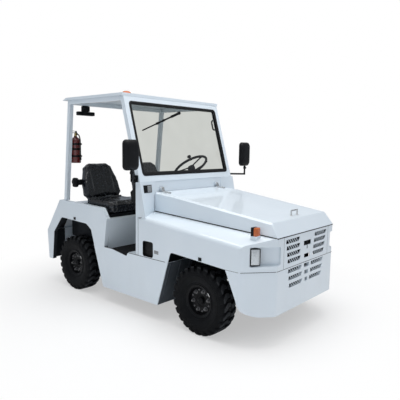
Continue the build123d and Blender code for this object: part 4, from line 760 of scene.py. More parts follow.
for hand, side in HANDS:
    back_x = at(2.0753)
    front_in, front_out = corner_at(LAMP_IN_Y) - LAMP_SET_BACK, corner_at(LAMP_OUT_Y) - LAMP_SET_BACK
    plan = [(back_x, LAMP_OUT_Y), (back_x, LAMP_IN_Y), (front_in, LAMP_IN_Y), (front_out, LAMP_OUT_Y)]
    lamp = Shape()
    lamp.eight([(x, side * y, z) for z in (LAMP_LOW_Z, LAMP_HIGH_Z) for x, y in plan])
    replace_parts(lamp.make(f"head_lamp_shell_{hand}", "black_plastic", 30), "headlamps")
    along = Vector((front_in - front_out, -side * (LAMP_OUT_Y - LAMP_IN_Y), 0))
    half_w = along.length / 2 - 0.003
    half_h = (LAMP_HIGH_Z - LAMP_LOW_Z) / 2 - 0.004
    along.normalize()
    outward = Vector((0, 0, 1)).cross(along)
    if outward.x < 0:
        outward = -outward
    face = axes(along, (0, 0, 1), outward, (
        (front_in + front_out) / 2, side * (LAMP_OUT_Y + LAMP_IN_Y) / 2, (LAMP_LOW_Z + LAMP_HIGH_Z) / 2))
    ribbed_lens(half_w, half_h).make(f"head_lamp_lens_{hand}", "glass", 20, face, material=lens_glass)
    bezel = Shape()
    levels = ((-0.003, -0.001), (-0.003, 0.004), (0.0015, 0.005), (0.0025, 0.0005))
    verts = [(a * (half_w - inset), b * (half_h - inset), height)
             for inset, height in levels for a, b in ((-1, -1), (1, -1), (1, 1), (-1, 1))]
    bezel.add(verts, walls(len(levels), 4))
    bezel.make(f"head_lamp_bezel_{hand}", "black_plastic", 20, face)

    # Turn lamp: an amber lens before a black housing, on a white foot
    turn_x, turn_y = at(2.060), side * 0.505
    housing = Shape()
    housing.slab((0.026, 0.057, 0.066), 0.005, move(turn_x - 0.011, turn_y, TURN_LAMP_Z))
    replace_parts(housing.make(f"turn_lamp_housing_{hand}", "black_plastic", 30), "turn_lamps")
    amber = Shape()
    amber.slab((0.026, 0.056, 0.066), 0.008, move(turn_x + 0.012, turn_y, TURN_LAMP_Z))
    for k in range(7):
        amber.slab((0.0015, 0.046, 0.0035), 0.0005,
                   move(turn_x + 0.0252, turn_y, TURN_LAMP_Z - 0.023 + k * 0.0076))
    amber.make(f"turn_lamp_lens_{hand}", "amber_lens", 30)
    corners = [(turn_x + a * 0.024, turn_y + b * 0.029) for a, b in ((-1, -1), (1, -1), (1, 1), (-1, 1))]
    top = []
    for x, y in corners:
        u = x - REAR_AXLE_X
        rise = (seam_height(u) - shoulder_height(u)) * (BODY_Y - abs(y)) / 0.191
        top.append((x, y, shoulder_height(u) + rise + 0.0006))
    foot = Shape()
    foot.eight(top + [(x, y, 0.822) for x, y in corners])
    foot.make(f"turn_lamp_foot_{hand}", "white_paint", 30)


# Beacon

BEACON = move(at(0.045), 0, 1.8933)
DOME_R = 0.052
profile = [(0.050, 0.030), (DOME_R, 0.033)] + [(DOME_R, 0.034 + 0.0045 * i) for i in range(12)]
for degrees_up in (15, 30, 45, 60, 72, 82):
    a = math.radians(degrees_up)
    profile.append((DOME_R - DOME_R * (1 - math.cos(a)) * 0.9, 0.0865 + 0.0335 * math.sin(a)))
dome = Shape()
dome.turned(profile, 72, ripple=0.018)
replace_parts(dome.make("beacon_dome", "amber_lens", 25, BEACON), "beacon")
base = Shape()
base.turned([(0.0, 0.0), (0.059, 0.0), (0.060, 0.002), (0.060, 0.010), (0.057, 0.013), (0.056, 0.026),
             (0.054, 0.030), (0.0, 0.030)], 64)
for i in range(3):
    a = math.tau * i / 3
    base.turned([(0.004, 0.0), (0.004, 0.004), (0.002, 0.0055), (0.0, 0.0055)], 12,
                stand(0.0605 * math.cos(a), 0.0605 * math.sin(a), 0.019, (math.cos(a), math.sin(a), 0))
                @ move(0, 0, -0.005))
base.make("beacon_base", "black_plastic", 30, BEACON)


# Tail lamps

TAIL_LOW_Z, TAIL_HIGH_Z = 0.460, 0.530
TAIL_Y = 0.530
tail_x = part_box("tail_lamps")[0][0]
tail_z = (TAIL_LOW_Z + TAIL_HIGH_Z) / 2
for hand, side in HANDS:
    lamp = Shape()
    lamp.slab((0.030, 0.119, 0.069), 0.005, move(tail_x + 0.016, side * TAIL_Y, tail_z))
    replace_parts(lamp.make(f"tail_lamp_shell_{hand}", "black_plastic", 30), "tail_lamps")
    for part, slot_name, material, middle, width in (("stop", "red_lens", None, 0.022, 0.066),
                                                     ("reverse", "glass", lens_glass, -0.034, 0.040)):
        y = side * (TAIL_Y + middle)
        lens = Shape()
        lens.slab((0.014, width, 0.056), 0.004, move(tail_x + 0.0075, y, tail_z))
        for k in range(9):
            lens.slab((0.0012, width - 0.008, 0.0026), 0.0004,
                      move(tail_x + 0.0008, y, TAIL_LOW_Z + 0.0135 + k * 0.0054))
        lens.make(f"tail_lamp_{part}_{hand}", slot_name, 30, material=material)


# Mirrors

MIRROR_X = at(1.038)
MIRROR_Y = 0.777
MIRROR_Z = 1.370
MIRROR_HALF_Y, MIRROR_HALF_Z = 0.075, 0.123
MIRROR_ROOT_X, MIRROR_ROOT_Y, MIRROR_ROOT_Z = at(0.925), 0.6345, 1.162


def mirror_levels(insets):
    """Levels of the mirror's outline, drawn in by (width, height) with a corner radius and a height."""
    return [(MIRROR_HALF_Y - w, MIRROR_HALF_Z - h, radius, height) for w, h, radius, height in insets]


for hand, side in HANDS:
    front_face = axes((0, 1, 0), (0, 0, 1), (1, 0, 0), (MIRROR_X, side * MIRROR_Y, MIRROR_Z))
    shell = Shape()
    rounded_stack(shell, mirror_levels((
        (0.006, 0.006, 0.030, -0.0215), (0.006, 0.006, 0.030, -0.025), (0.002, 0.002, 0.034, -0.025),
        (0.0, 0.0, 0.036, -0.022), (0.0, 0.0, 0.036, -0.006), (0.003, 0.003, 0.036, 0.006),
        (0.010, 0.012, 0.036, 0.016), (0.020, 0.026, 0.034, 0.022), (0.034, 0.046, 0.030, 0.025))),
        front_face)
    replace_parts(shell.make(f"mirror_shell_{hand}", "black_plastic", 40), "mirror_heads")
    pane = Shape()
    rounded_stack(pane, mirror_levels((
        (0.008, 0.008, 0.028, -0.0222), (0.008, 0.008, 0.028, -0.0232), (0.012, 0.012, 0.025, -0.0238),
        (0.040, 0.050, 0.020, -0.0245))), front_face)
    pane.make(f"mirror_pane_{hand}", "glass", 60, material=mirror_glass)
    clamp = Shape()
    clamp.turned([(0.0, 0.0), (0.012, 0.0), (0.014, 0.002), (0.014, 0.018), (0.011, 0.022), (0.011, 0.030),
                  (0.0, 0.030)], 24, move(MIRROR_X, side * MIRROR_Y, 1.2165))
    clamp.slab((0.030, 0.016, 0.014), 0.003, move(MIRROR_X + 0.004, side * MIRROR_Y, 1.226))
    clamp.make(f"mirror_clamp_{hand}", "black_plastic", 30)
    foot = Shape()
    foot.slab((0.052, 0.010, 0.070), 0.003, move(MIRROR_ROOT_X, side * MIRROR_ROOT_Y, MIRROR_ROOT_Z))
    foot.turned([(0.0, 0.0), (0.017, 0.0), (0.017, 0.010), (0.013, 0.016), (0.0115, 0.028), (0.0, 0.028)], 24,
                stand(MIRROR_ROOT_X, side * (MIRROR_ROOT_Y + 0.004), MIRROR_ROOT_Z, (0, side, 0)))
    for dz in (-0.024, 0.024):
        foot.turned(stud(0.0075, 0.004, 0.006, 0.006), 6,
                    stand(MIRROR_ROOT_X, side * (MIRROR_ROOT_Y + 0.0045), MIRROR_ROOT_Z + dz, (0, side, 0)))
    foot.make(f"mirror_foot_{hand}", "black_paint", 30)


# Steering wheel

TILT = math.radians(38)
column = Vector((math.sin(TILT), 0, -math.cos(TILT)))
wheel_place = axes((0, 1, 0), column.cross(Vector((0, 1, 0))), column, (at(0.700), 0.300, 1.235))
GRIP_R = 0.180
GRIP_WAVES = 24
wheel = Shape()
ring = []
for i in range(96):
    a = math.tau * i / 96
    grip = GRIP_R - 0.0008 * math.cos(GRIP_WAVES * a)
    ring.append((grip * math.cos(a), grip * math.sin(a), 0.0))
wheel.tube(ring, 0.0125, 16, closed=True)
for degrees_round in (90, 210, 330):
    spoke = turn(math.radians(degrees_round), "Z")
    wheel.slab((0.150, 0.021, 0.0075), 0.0025, spoke @ move(0.100, 0, 0.0045))
    wheel.slab((0.030, 0.030, 0.012), 0.004, spoke @ move(0.172, 0, 0.003))
    for k in range(3):
        wheel.turned([(0.0055, 0.0), (0.0055, 0.0012), (0.0, 0.0012)], 16,
                     spoke @ move(0.070 + 0.026 * k, 0, -0.0005) @ turn(math.pi, "X"))
wheel.turned([(0.0, -0.006), (0.020, -0.006), (0.022, -0.0045), (0.030, -0.004), (0.037, 0.0),
              (0.038, 0.006), (0.038, 0.026), (0.034, 0.032), (0.032, 0.039), (0.0, 0.039)], 48)
wheel.turned([(0.0, -0.0078), (0.012, -0.0078), (0.0165, -0.0065), (0.0175, -0.004)], 32)
item = wheel.make("steering_wheel_rim", "black_plastic", 40, wheel_place, "steering_wheel")
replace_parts(item, "steering_wheel")
knob = Shape()
knob_spot = move(-0.120, 0.134, 0.0)
knob.turned([(0.0, -0.012), (0.010, -0.012), (0.010, 0.012), (0.0075, 0.014), (0.0075, 0.018),
             (0.014, 0.020), (0.0185, 0.025), (0.0200, 0.031), (0.0190, 0.037), (0.015, 0.042),
             (0.008, 0.0445), (0.0, 0.045)], 32, knob_spot @ turn(math.pi, "X"))
knob.slab((0.026, 0.030, 0.010), 0.003, knob_spot @ turn(math.radians(-48), "Z"))
knob.make("spinner_knob", "black_plastic", 40, wheel_place, "steering_wheel")
boot = Shape()
profile = [(0.0, 0.128), (0.046, 0.128)]
for k in range(7):
    z = 0.120 - k * 0.011
    profile += [(0.045 - 0.0015 * k, z + 0.004), (0.037 - 0.0012 * k, z - 0.002)]
boot.turned(profile + [(0.034, 0.043), (0.0, 0.043)], 40)
boot.make("column_boot", "rubber", 50, wheel_place)
stalk = Shape()
stalk.tube([(0.0, 0.030, 0.060), (0.06, 0.10, 0.052), (0.075, 0.135, 0.046)], 0.0045, 10)
stalk.tube([(0.075, 0.135, 0.046), (0.082, 0.158, 0.043)], 0.0080, 12)
stalk.make("column_stalk", "black_plastic", 40, wheel_place)


# Dashboard

DASH_LOW = Vector((at(0.790), 0, 1.040))
dash_slope = Vector((math.cos(TILT), 0, math.sin(TILT)))
dash_out = Vector((-math.sin(TILT), 0, math.cos(TILT)))


def on_dash(y, along):
    """A place on the dash's sloping face: X to the right, Y up the face, Z out of it."""
    return axes((0, -1, 0), dash_slope, dash_out, DASH_LOW + dash_slope * along + Vector((0, y, 0)))


bezels, dials, marks = Shape(), Shape(), Shape()
for y, radius in ((0.180, 0.032), (0.100, 0.026), (0.035, 0.026), (-0.030, 0.026)):
    spot = on_dash(y, 0.052)
    bezels.turned([(radius, -0.001), (radius + 0.004, 0.001), (radius + 0.003, 0.006), (radius, 0.0065),
                   (radius - 0.002, 0.004), (radius - 0.002, -0.001)], 40, spot, closed=True)
    dials.turned([(0.0, 0.0022), (radius - 0.002, 0.0022), (radius - 0.001, -0.001)], 40, spot)
    for k in range(11):
        marks.slab((0.005, 0.0012, 0.0006), 0,
                   spot @ turn(math.radians(-40 + 26 * k), "Z") @ move(radius - 0.007, 0, 0.0026))
    marks.slab((radius * 0.8, 0.0016, 0.0008), 0,
               spot @ turn(math.radians(130), "Z") @ move(radius * 0.3, 0, 0.0036))
bezels.make("gauge_bezels", "steel", 40, material=light_steel)
dials.make("gauge_faces", "black_plastic", 40)
marks.make("gauge_marks", "white_paint", None)
switches = Shape()
for k in range(7):
    spot = on_dash(-0.120 - 0.042 * k, 0.050)
    rounded_stack(switches, [(0.012, 0.019, 0.003, -0.001), (0.012, 0.019, 0.003, 0.002),
                             (0.010, 0.017, 0.002, 0.003)], spot, 3)
    switches.slab((0.016, 0.026, 0.008), 0.002,
                  spot @ move(0, 0, 0.005) @ turn(math.radians(12 if k % 3 else -12), "X"))
switches.turned(stud(0.013, 0.004, 0.010, 0.006), 32, on_dash(0.430, 0.05))
switches.slab((0.002, 0.010, 0.020), 0.0005, on_dash(0.430, 0.05) @ move(0, 0, 0.014))
switches.make("dash_switches", "black_plastic", 30)
tray_lid = Shape()
rounded_stack(tray_lid, [(0.095, 0.030, 0.008, -0.001), (0.095, 0.030, 0.008, 0.003),
                         (0.092, 0.027, 0.006, 0.0045)], on_dash(-0.480, 0.05), 4)
tray_lid.slab((0.030, 0.008, 0.006), 0.002, on_dash(-0.480, 0.070) @ move(0, 0, 0.006))
tray_lid.make("dash_tray_lid", "black_plastic", 30)


# Wiper and grab handle on the windscreen

SCREEN_LEAN, SCREEN_RISE = 0.183, 0.626
RAKE = math.atan2(SCREEN_LEAN, SCREEN_RISE)
SCREEN_LOW_Z = 1.140
screen_place = axes((0, 1, 0), (-math.sin(RAKE), 0, math.cos(RAKE)), (math.cos(RAKE), 0, math.sin(RAKE)),
                    (at(0.955 + 0.055 * SCREEN_LEAN / SCREEN_RISE), 0, SCREEN_LOW_Z))


def up_screen(z):
    """How far up the windscreen's plane a height lies."""
    return (z - SCREEN_LOW_Z) / math.cos(RAKE)


pivot = Vector((0.033, up_screen(1.760), -0.0135))
sweep = Vector((-0.478, 0.458, -0.0135)) - pivot
reach = sweep.length
blade_turn = turn(math.atan2(sweep.y, sweep.x), "Z")
run = sweep.normalized()


def on_arm(along, out):
    """A place on the wiper, its X along the arm."""
    return Matrix.Translation(pivot + run * along + Vector((0, 0, out))) @ blade_turn


BLADE_MIDDLE = reach * 0.63
arm = Shape()
arm.turned(stud(0.0155, 0.012, 0.013, 0.017, crown=0.001), 32, Matrix.Translation(pivot))
arm.turned(stud(0.007, 0.005, 0.0055, 0.0065, foot=0.017), 6, Matrix.Translation(pivot))
for size, bevel, along, out in (
        ((0.130, 0.024, 0.011), 0.002, 0.066, 0.012),
        ((reach * 0.46, 0.0155, 0.010), 0.0015, 0.10 + reach * 0.22, 0.0125),
        ((0.034, 0.022, 0.013), 0.003, reach * 0.62, 0.0115),
        ((0.028, 0.022, 0.013), 0.003, reach * 0.46, 0.0115),
        ((reach * 0.74, 0.0120, 0.0065), 0.001, BLADE_MIDDLE, 0.0075)):
    arm.slab(size, bevel, on_arm(along, out))
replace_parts(arm.make("wiper_arm", "black_paint", 30, screen_place), "wiper")
blade = Shape()
blade.slab((reach * 0.745, 0.0065, 0.004), 0.001, on_arm(BLADE_MIDDLE, 0.0034))
blade.slab((reach * 0.745, 0.0016, 0.003), 0.0003, on_arm(BLADE_MIDDLE, 0.0008))
blade.make("wiper_blade", "rubber", 30, screen_place)

GRAB_Y, GRAB_OUT = 0.600, -0.042
grab_low, grab_high = 0.520, 0.620
bend = [math.radians(15 * i) for i in range(7)]
path = [(GRAB_Y, grab_low, GRAB_OUT)]
for height, way, angles in ((grab_low, 1, bend), (grab_high, -1, reversed(bend))):
    path += [(GRAB_Y, height + way * 0.022 * (1 - math.cos(a)), GRAB_OUT - 0.024 - 0.018 * math.sin(a))
             for a in angles]
path.append((GRAB_Y, grab_high, GRAB_OUT))
grab = Shape()
grab.tube(path, 0.0078, 16)
for height in (grab_low, grab_high):
    grab.turned([(0.0, 0.0), (0.014, 0.0), (0.015, 0.002), (0.013, 0.006), (0.0085, 0.010), (0.0, 0.010)], 24,
                move(GRAB_Y, height, GRAB_OUT) @ turn(math.pi, "X"))
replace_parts(grab.make("grab_bar", "black_plastic", 45, screen_place, material=rubber), "grab_handle")


# Fire extinguisher

BOTTLE = move(at(-0.105), -0.530, 1.262)
bottle = Shape()
bottle.turned([(0.0, 0.004), (0.030, 0.004), (0.036, 0.0), (0.045, 0.0), (0.0485, 0.003), (0.050, 0.010),
               (0.050, 0.205), (0.049, 0.218), (0.045, 0.232), (0.037, 0.244), (0.026, 0.252), (0.017, 0.257),
               (0.0155, 0.266), (0.0, 0.266)], 64)
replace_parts(bottle.make("extinguisher_bottle", "red_paint", 40, BOTTLE), "fire_extinguisher")
valve = Shape()
valve.turned([(0.0, 0.262), (0.0145, 0.262), (0.0145, 0.276), (0.0115, 0.279), (0.0115, 0.300),
              (0.0, 0.302)], 32)
valve.turned([(0.0, 0.0), (0.006, 0.0), (0.006, 0.016), (0.0, 0.016)], 16,
             move(0.010, 0, 0.286) @ turn(math.pi / 2, "Y"))
valve.make("extinguisher_valve", "steel", 40, BOTTLE, material=brass)
gauge = Shape()
gauge.turned([(0.0, 0.0), (0.013, 0.0), (0.014, 0.001), (0.014, 0.009), (0.0125, 0.010), (0.0115, 0.009),
              (0.0, 0.009)], 32, move(0.0, 0.010, 0.288) @ turn(-math.pi / 2, "X"))
gauge.make("extinguisher_gauge", "steel", 40, BOTTLE, material=light_steel)


def smooth_line(points, steps=6):
    """A rounded curve through points."""
    points = [Vector(p) for p in points]
    curve = []
    for i in range(len(points) - 1):
        before, here, there = points[max(i - 1, 0)], points[i], points[i + 1]
        after = points[min(i + 2, len(points) - 1)]
        for k in range(steps):
            t = k / steps
            curve.append(0.5 * (2 * here + (there - before) * t
                                + (2 * before - 5 * here + 4 * there - after) * t * t
                                + (3 * here - before - 3 * there + after) * t ** 3))
    return curve + [points[-1]]


handles = Shape()
for lift, lean, length in ((0.3005, -0.06, 0.085), (0.316, 0.13, 0.080)):
    handles.slab((length, 0.014, 0.004), 0.0015, move(-0.024, 0, lift) @ turn(lean, "Y"))
handles.slab((0.016, 0.010, 0.024), 0.002, move(0.010, 0, 0.306))
handles.tube(smooth_line([
    (0.018, 0, 0.286), (0.040, 0, 0.284), (0.054, 0.006, 0.268), (0.060, 0.012, 0.235),
    (0.061, 0.014, 0.180), (0.061, 0.014, 0.110), (0.061, 0.014, 0.070)]), 0.0058, 12)
handles.turned([(0.0, 0.0), (0.0085, 0.0), (0.0095, 0.004), (0.0070, 0.050), (0.0062, 0.060),
                (0.0, 0.060)], 20, move(0.061, 0.014, 0.030))
handles.make("extinguisher_handles_and_hose", "rubber", 40, BOTTLE)
BAND_R = 0.0502
bands = Shape()
for z in (0.068, 0.188):
    bands.turned([(BAND_R, -0.009), (0.0516, -0.009), (0.0516, 0.009), (BAND_R, 0.009)], 64, move(0, 0, z),
                 closed=True)
    bands.slab((0.012, 0.016, 0.016), 0.002, move(0.034, 0.040, z))
    bands.slab((0.028, 0.016, 0.018), 0.002, move(0, -0.058, z))
bands.turned([(BAND_R, 0.128), (0.0508, 0.1285), (0.0508, 0.1475), (BAND_R, 0.148)], 64, closed=True)
bands.make("extinguisher_bands", "black_paint", 40, BOTTLE)


# Work lamp

lamp_low, lamp_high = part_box("work_lamp")
lamp_x, lamp_y = (lamp_low[0] + lamp_high[0]) / 2, (lamp_low[1] + lamp_high[1]) / 2
bar_place = move(lamp_x, lamp_y, lamp_low[2] + 0.020)
work = Shape()
work.slab((0.056, 0.188, 0.038), 0.008, bar_place)
for k in range(15):
    work.slab((0.0585, 0.002, 0.034), 0.0005, bar_place @ move(0.0005, -0.084 + 0.012 * k, 0))
work.slab((0.034, 0.084, 0.052), 0.006, move(lamp_x, lamp_y, lamp_high[2] - 0.030))
work.slab((0.030, 0.046, 0.050), 0.005, move(lamp_x, lamp_y, lamp_low[2] + 0.055))
work.slab((0.050, 0.050, 0.004), 0.001, move(lamp_x, lamp_y, lamp_high[2] - 0.0022))
for side in (-1, 1):
    work.turned([(0.0, 0.0), (0.011, 0.0), (0.012, 0.002), (0.012, 0.006), (0.0, 0.0065)], 24,
                stand(lamp_x, lamp_y + side * 0.088, lamp_low[2] + 0.020, (0, side, 0)))
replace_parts(work.make("work_lamp_body", "black_plastic", 30), "work_lamp")
panes = Shape()
for k in range(4):
    panes.slab((0.002, 0.036, 0.028), 0.0008, bar_place @ move(-0.0285, -0.0645 + 0.043 * k, 0))
panes.make("work_lamp_lens", "glass", 30, material=lens_glass)


# Screws, bolts and small trim

HINGE_U, HINGE_Y, HINGE_Z = 0.984, 0.380, 1.078
STRAP_U, STRAP_Z = 0.971, 1.045
STRAP_RUN, STRAP_FALL = 0.239, 0.017
HOOD_FRONT_Z, HOOD_REAR_Z, HOOD_TOP_RUN = 0.912, 1.028, 0.930

trim_screws = Shape()
for side in SIDES:
    for u, z in ((0.9815, 0.842), (0.9925, 0.838), (1.004, 0.846)):
        trim_screws.turned([(0.0045, 0.0), (0.0045, 0.001), (0.0036, 0.0026), (0.0018, 0.0034),
                            (0.0, 0.0036)], 16, stand(at(u), side * BODY_Y, z, (0, side, 0)))
trim_screws.make("fender_screws", "steel", 40, material=dark_steel)

hinge_bolts = Shape()
for side in SIDES:
    for ear in SIDES:
        hinge_bolts.turned(stud(0.0055, 0.002, 0.004, 0.0035, crown=0.0003), 16,
                           stand(at(HINGE_U), side * HINGE_Y + ear * 0.022, HINGE_Z, (0, ear, 0)))
hinge_bolts.make("hinge_pin_heads", "steel", 40, material=light_steel)

strap_bolts = Shape()
for side in SIDES:
    for reach in (0.045, 0.085):
        z = STRAP_Z - STRAP_FALL / STRAP_RUN * reach + 0.0083
        place = stand(at(STRAP_U + reach), side * HINGE_Y, z, (STRAP_FALL, 0, STRAP_RUN))
        bolt(strap_bolts, place, 0.0062, 0.005)
strap_bolts.make("hinge_strap_bolts", "steel", 30, body="hood", material=light_steel)

handle_feet = Shape()
top_fall = (HOOD_REAR_Z - HOOD_FRONT_Z) / HOOD_TOP_RUN
for side in SIDES:
    handle_feet.turned(stud(0.0115, 0.002, 0.0085, 0.004), 24,
                       stand(at(2.080), side * 0.045, HOOD_FRONT_Z + top_fall * 0.060, (top_fall, 0, 1)))
handle_feet.make("hood_handle_feet", "steel", 40, body="hood")

tabs = Shape()
for side in SIDES:
    for u, z in ((0.033, 0.725), (1.664, 0.606)):
        tabs.slab((0.030, 0.006, 0.026), 0.002, move(at(u), side * (BODY_Y + 0.0025), z))
tabs.make("arch_tabs", "rubber", 30)

tag = Shape()
tag.slab((0.052, 0.0014, 0.028), 0.0005, move(at(1.190), -BODY_Y - 0.0006, 0.578) @ turn(0.03, "Y"))
tag.make("blank_tag", "steel", 30, material=tag_grey)

HATCH_Z = 0.589
hatch_edge = [(at(1.0875) + a, 0.0025 - BODY_Y, HATCH_Z + b) for a, b in rounded_ring(0.0625, 0.065, 0.020)]
hatch_seal = Shape()
hatch_seal.tube(hatch_edge, 0.0028, 8, closed=True)
hatch_seal.make("hatch_edge_seal", "rubber", 60)

mat_low, mat_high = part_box("floor_mat")
ribs = Shape()
RIB_PITCH = 0.024
floor_ribs = [-0.552 + k * RIB_PITCH for k in range(47)]
step_ribs = [side * (0.578 + k * RIB_PITCH) for side in SIDES for k in range(3)]
for rib_ys, front, margin in ((floor_ribs, mat_high[0], 0.012), (step_ribs, at(0.812), 0.010)):
    for y in rib_ys:
        ribs.slab((front - mat_low[0] - margin, 0.007, 0.004), 0.0012,
                  move((mat_low[0] + front) / 2, y, mat_high[2] + 0.0015))
ribs.make("mat_ribs", "rubber", 30)

pads = Shape()
for pedal_y in (0.200, 0.300, 0.400):
    low, high = Vector((at(0.800), 0, 0.560)), Vector((at(0.835), 0, 0.600))
    rise = (high - low).normalized()
    out = Vector((-rise.z, 0, rise.x))
    place = axes((0, 1, 0), rise, out, (low + high) / 2 + out * 0.002 + Vector((0, pedal_y, 0)))
    pads.slab((0.056, 0.058, 0.007), 0.002, place)
    for k in range(6):
        pads.slab((0.050, 0.004, 0.003), 0.0008, place @ move(0, -0.023 + k * 0.0092, 0.0045))
pads.make("pedal_pads", "rubber", 30)

knobs = Shape()
for lever_y, lever_u, height in ((0.060, 0.640, 0.336), (-0.040, 0.700, 0.276)):
    knobs.turned([(0.0, -0.040), (0.010, -0.040), (0.0115, -0.030), (0.017, -0.020), (0.020, -0.008),
                  (0.018, 0.004), (0.010, 0.0095), (0.0, 0.010)], 28,
                 move(at(lever_u), lever_y, 0.4806 + height))
    bellows = [(0.0, 0.0), (0.046, 0.0)]
    for k in range(5):
        bellows += [(0.044 - 0.007 * k, 0.006 + 0.012 * k), (0.034 - 0.005 * k, 0.012 + 0.012 * k)]
    knobs.turned(bellows + [(0.0, 0.068)], 28, move(at(lever_u), lever_y, 0.4905))
knobs.make("lever_knobs", "rubber", 50)

core = Shape()
core_low, core_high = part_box("radiator")
core_x, core_width, core_height = core_high[0], core_high[1] - core_low[1], core_high[2] - core_low[2]
TUBES = 44
for k in range(TUBES):
    core.slab((0.004, 0.0035, core_height - 0.090), 0.0008,
              move(core_x + 0.0015, core_low[1] + 0.020 + (core_width - 0.040) * k / (TUBES - 1),
                   (core_low[2] + core_high[2]) / 2))
for z in (core_low[2] + 0.022, core_high[2] - 0.022):
    core.slab((0.012, core_width - 0.006, 0.040), 0.006, move(core_x + 0.004, 0, z))
core.make("radiator_core", "black_paint", 30)

latch = Shape()
latch.slab((0.006, 0.150, 0.090), 0.002, move(at(2.188), 0, 0.715))
latch.turned(stud(0.009, 0.010, 0.006, 0.013), 24, move(at(2.189), 0, 0.722) @ turn(math.pi / 2, "Y"))
latch.make("hood_latch_plate", "black_paint", 30)

CLAMP_HALF_Y = 0.0335
clamps = Shape()
for axle_x, above, below, width in ((FRONT_AXLE_X, 0.334, 0.228, 0.094), (REAR_AXLE_X, 0.344, 0.218, 0.112)):
    for y in (0.260, -0.260):
        clamps.slab((width, 0.066, 0.010), 0.002, move(axle_x, y, below - 0.006))
        for x in (axle_x - width / 2 + 0.012, axle_x + width / 2 - 0.012):
            for leg_y in (y - CLAMP_HALF_Y, y + CLAMP_HALF_Y):
                clamps.tube([(x, leg_y, below - 0.020), (x, leg_y, above + 0.004)], 0.005, 10)
                bolt(clamps, stand(x, leg_y, below - 0.011, (0, 0, -1)), 0.008, 0.010)
            clamps.tube([(x, y - CLAMP_HALF_Y, above + 0.004), (x, y, above + 0.007),
                         (x, y + CLAMP_HALF_Y, above + 0.004)], 0.005, 10)
clamps.make("spring_clamps", "steel", 40, material=dark_steel)


# Seams, sheets of painted shade on the front skirts' end plates, and the windscreen's rubber lip

SKIRT_LOW_Z = 0.572
SEAM_Y = 0.4555
SEAM_LIFT = 0.0055


def strip(shape, start, end, width, proud, out):
    """A thin flat strip between two points on a panel whose outward direction is out."""
    start, end, out = Vector(start), Vector(end), Vector(out).normalized()
    side_step = (end - start).normalized().cross(out) * (width / 2)
    verts = []
    for p in (start, end):
        for step in (side_step, -side_step):
            verts += [p + step - out * 0.0005, p + step + out * proud]
    shape.add(verts, [(0, 1, 3, 2), (4, 6, 7, 5), (0, 4, 5, 1), (2, 3, 7, 6), (1, 5, 7, 3), (0, 2, 6, 4)])


hood_front_z = 0.8092
seam_rear_z, seam_front_z = seam_height(0.975) + SEAM_LIFT, seam_height(2.180) + SEAM_LIFT
seams = Shape()
for side in SIDES:
    outward = (0, side, 0)
    for start, end, width, proud, out in (
            ((at(0.975), SEAM_Y, seam_rear_z), (at(2.180), SEAM_Y, seam_front_z), 0.0065, 0.0014, outward),
            ((at(2.1795), 0.4560, seam_front_z), (FACE_X - 0.0005, 0.4360, hood_front_z),
             0.0065, 0.0014, (1, side * 1.2, 0)),
            ((at(0.500), BODY_Y, 0.516), (at(1.290), BODY_Y, 0.516), 0.0040, 0.0006, outward),
            ((at(1.903), BODY_Y, SKIRT_LOW_Z), (at(2.020), BODY_Y, SKIRT_LOW_Z), 0.0022, 0.0006, outward),
            ((at(2.034), 0.6425, SKIRT_LOW_Z), (at(2.2035), 0.4440, SKIRT_LOW_Z),
             0.0030, 0.0006, (1, side * 0.854, 0)),
            ((FACE_X, 0.350, 0.574), (FACE_X, 0.350, 0.806), 0.0018, 0.0005, (1, 0, 0)),
            ((at(0.9675), BODY_Y, 0.520), (at(0.9675), BODY_Y, 0.845), 0.0022, 0.0006, outward)):
        (x, y, z), (to_x, to_y, to_z) = start, end
        strip(seams, (x, side * y, z), (to_x, side * to_y, to_z), width, proud, out)
strip(seams, (FACE_X, -0.438, SKIRT_LOW_Z), (FACE_X, 0.438, SKIRT_LOW_Z), 0.0032, 0.0006, (1, 0, 0))
strip(seams, (FACE_X, -0.436, hood_front_z), (FACE_X, 0.436, hood_front_z), 0.0070, 0.0010, (1, 0, 0))
seams.make("panel_seams", "black_paint", None, material=rubber)

# Dark grey ribbed sheets over the front skirts' slanted end plates: painted shade on white plates that lie in
# shadow
arch_shade_sheets = Shape()
ARCH_RUN, ARCH_LOW_Z, ARCH_HIGH_Z = 0.119, 0.135, 0.516
run = Vector((ARCH_RUN, 0, ARCH_HIGH_Z - ARCH_LOW_Z)).normalized()
ahead = Vector((run.z, 0, -run.x))
for side in SIDES:
    middle = Vector((at(1.203 + ARCH_RUN / 2), side * 0.4855, (ARCH_LOW_Z + ARCH_HIGH_Z) / 2))
    place = axes(run, (0, 1, 0), ahead, middle + ahead * 0.0012)
    arch_shade_sheets.slab((0.392, 0.306, 0.002), 0.0005, place)
    for y in (-0.12, 0, 0.12):
        arch_shade_sheets.slab((0.386, 0.012, 0.004), 0.001, place @ move(0, y, 0.002))
arch_shade_sheets.make("wheel_arch_painted_shade", "black_paint", 30, material=arch_painted_shade_grey)

lip_low, lip_high = up_screen(1.195), up_screen(1.821)
lip_half, lip_mid = (lip_high - lip_low) / 2, (lip_high + lip_low) / 2
levels = ((0.007, -0.001), (0.006, 0.0026), (0.0, 0.0040), (-0.013, 0.0032), (-0.019, 0.0005),
          (-0.020, -0.010))
verts = [(x, lip_mid + y, height) for grow, height in levels
         for x, y in rounded_ring(0.576 + grow, lip_half + grow, 0.026 + grow, 6)]
screen_lip = Shape()
screen_lip.add(verts, walls(len(levels), len(verts) // len(levels), joined=True), screen_place)
screen_lip.slab((1.140, 0.030, 0.005), 0.0015, screen_place @ move(0, lip_low + 0.013, 0.0015))
screen_lip.make("windscreen_lip", "rubber", 50)

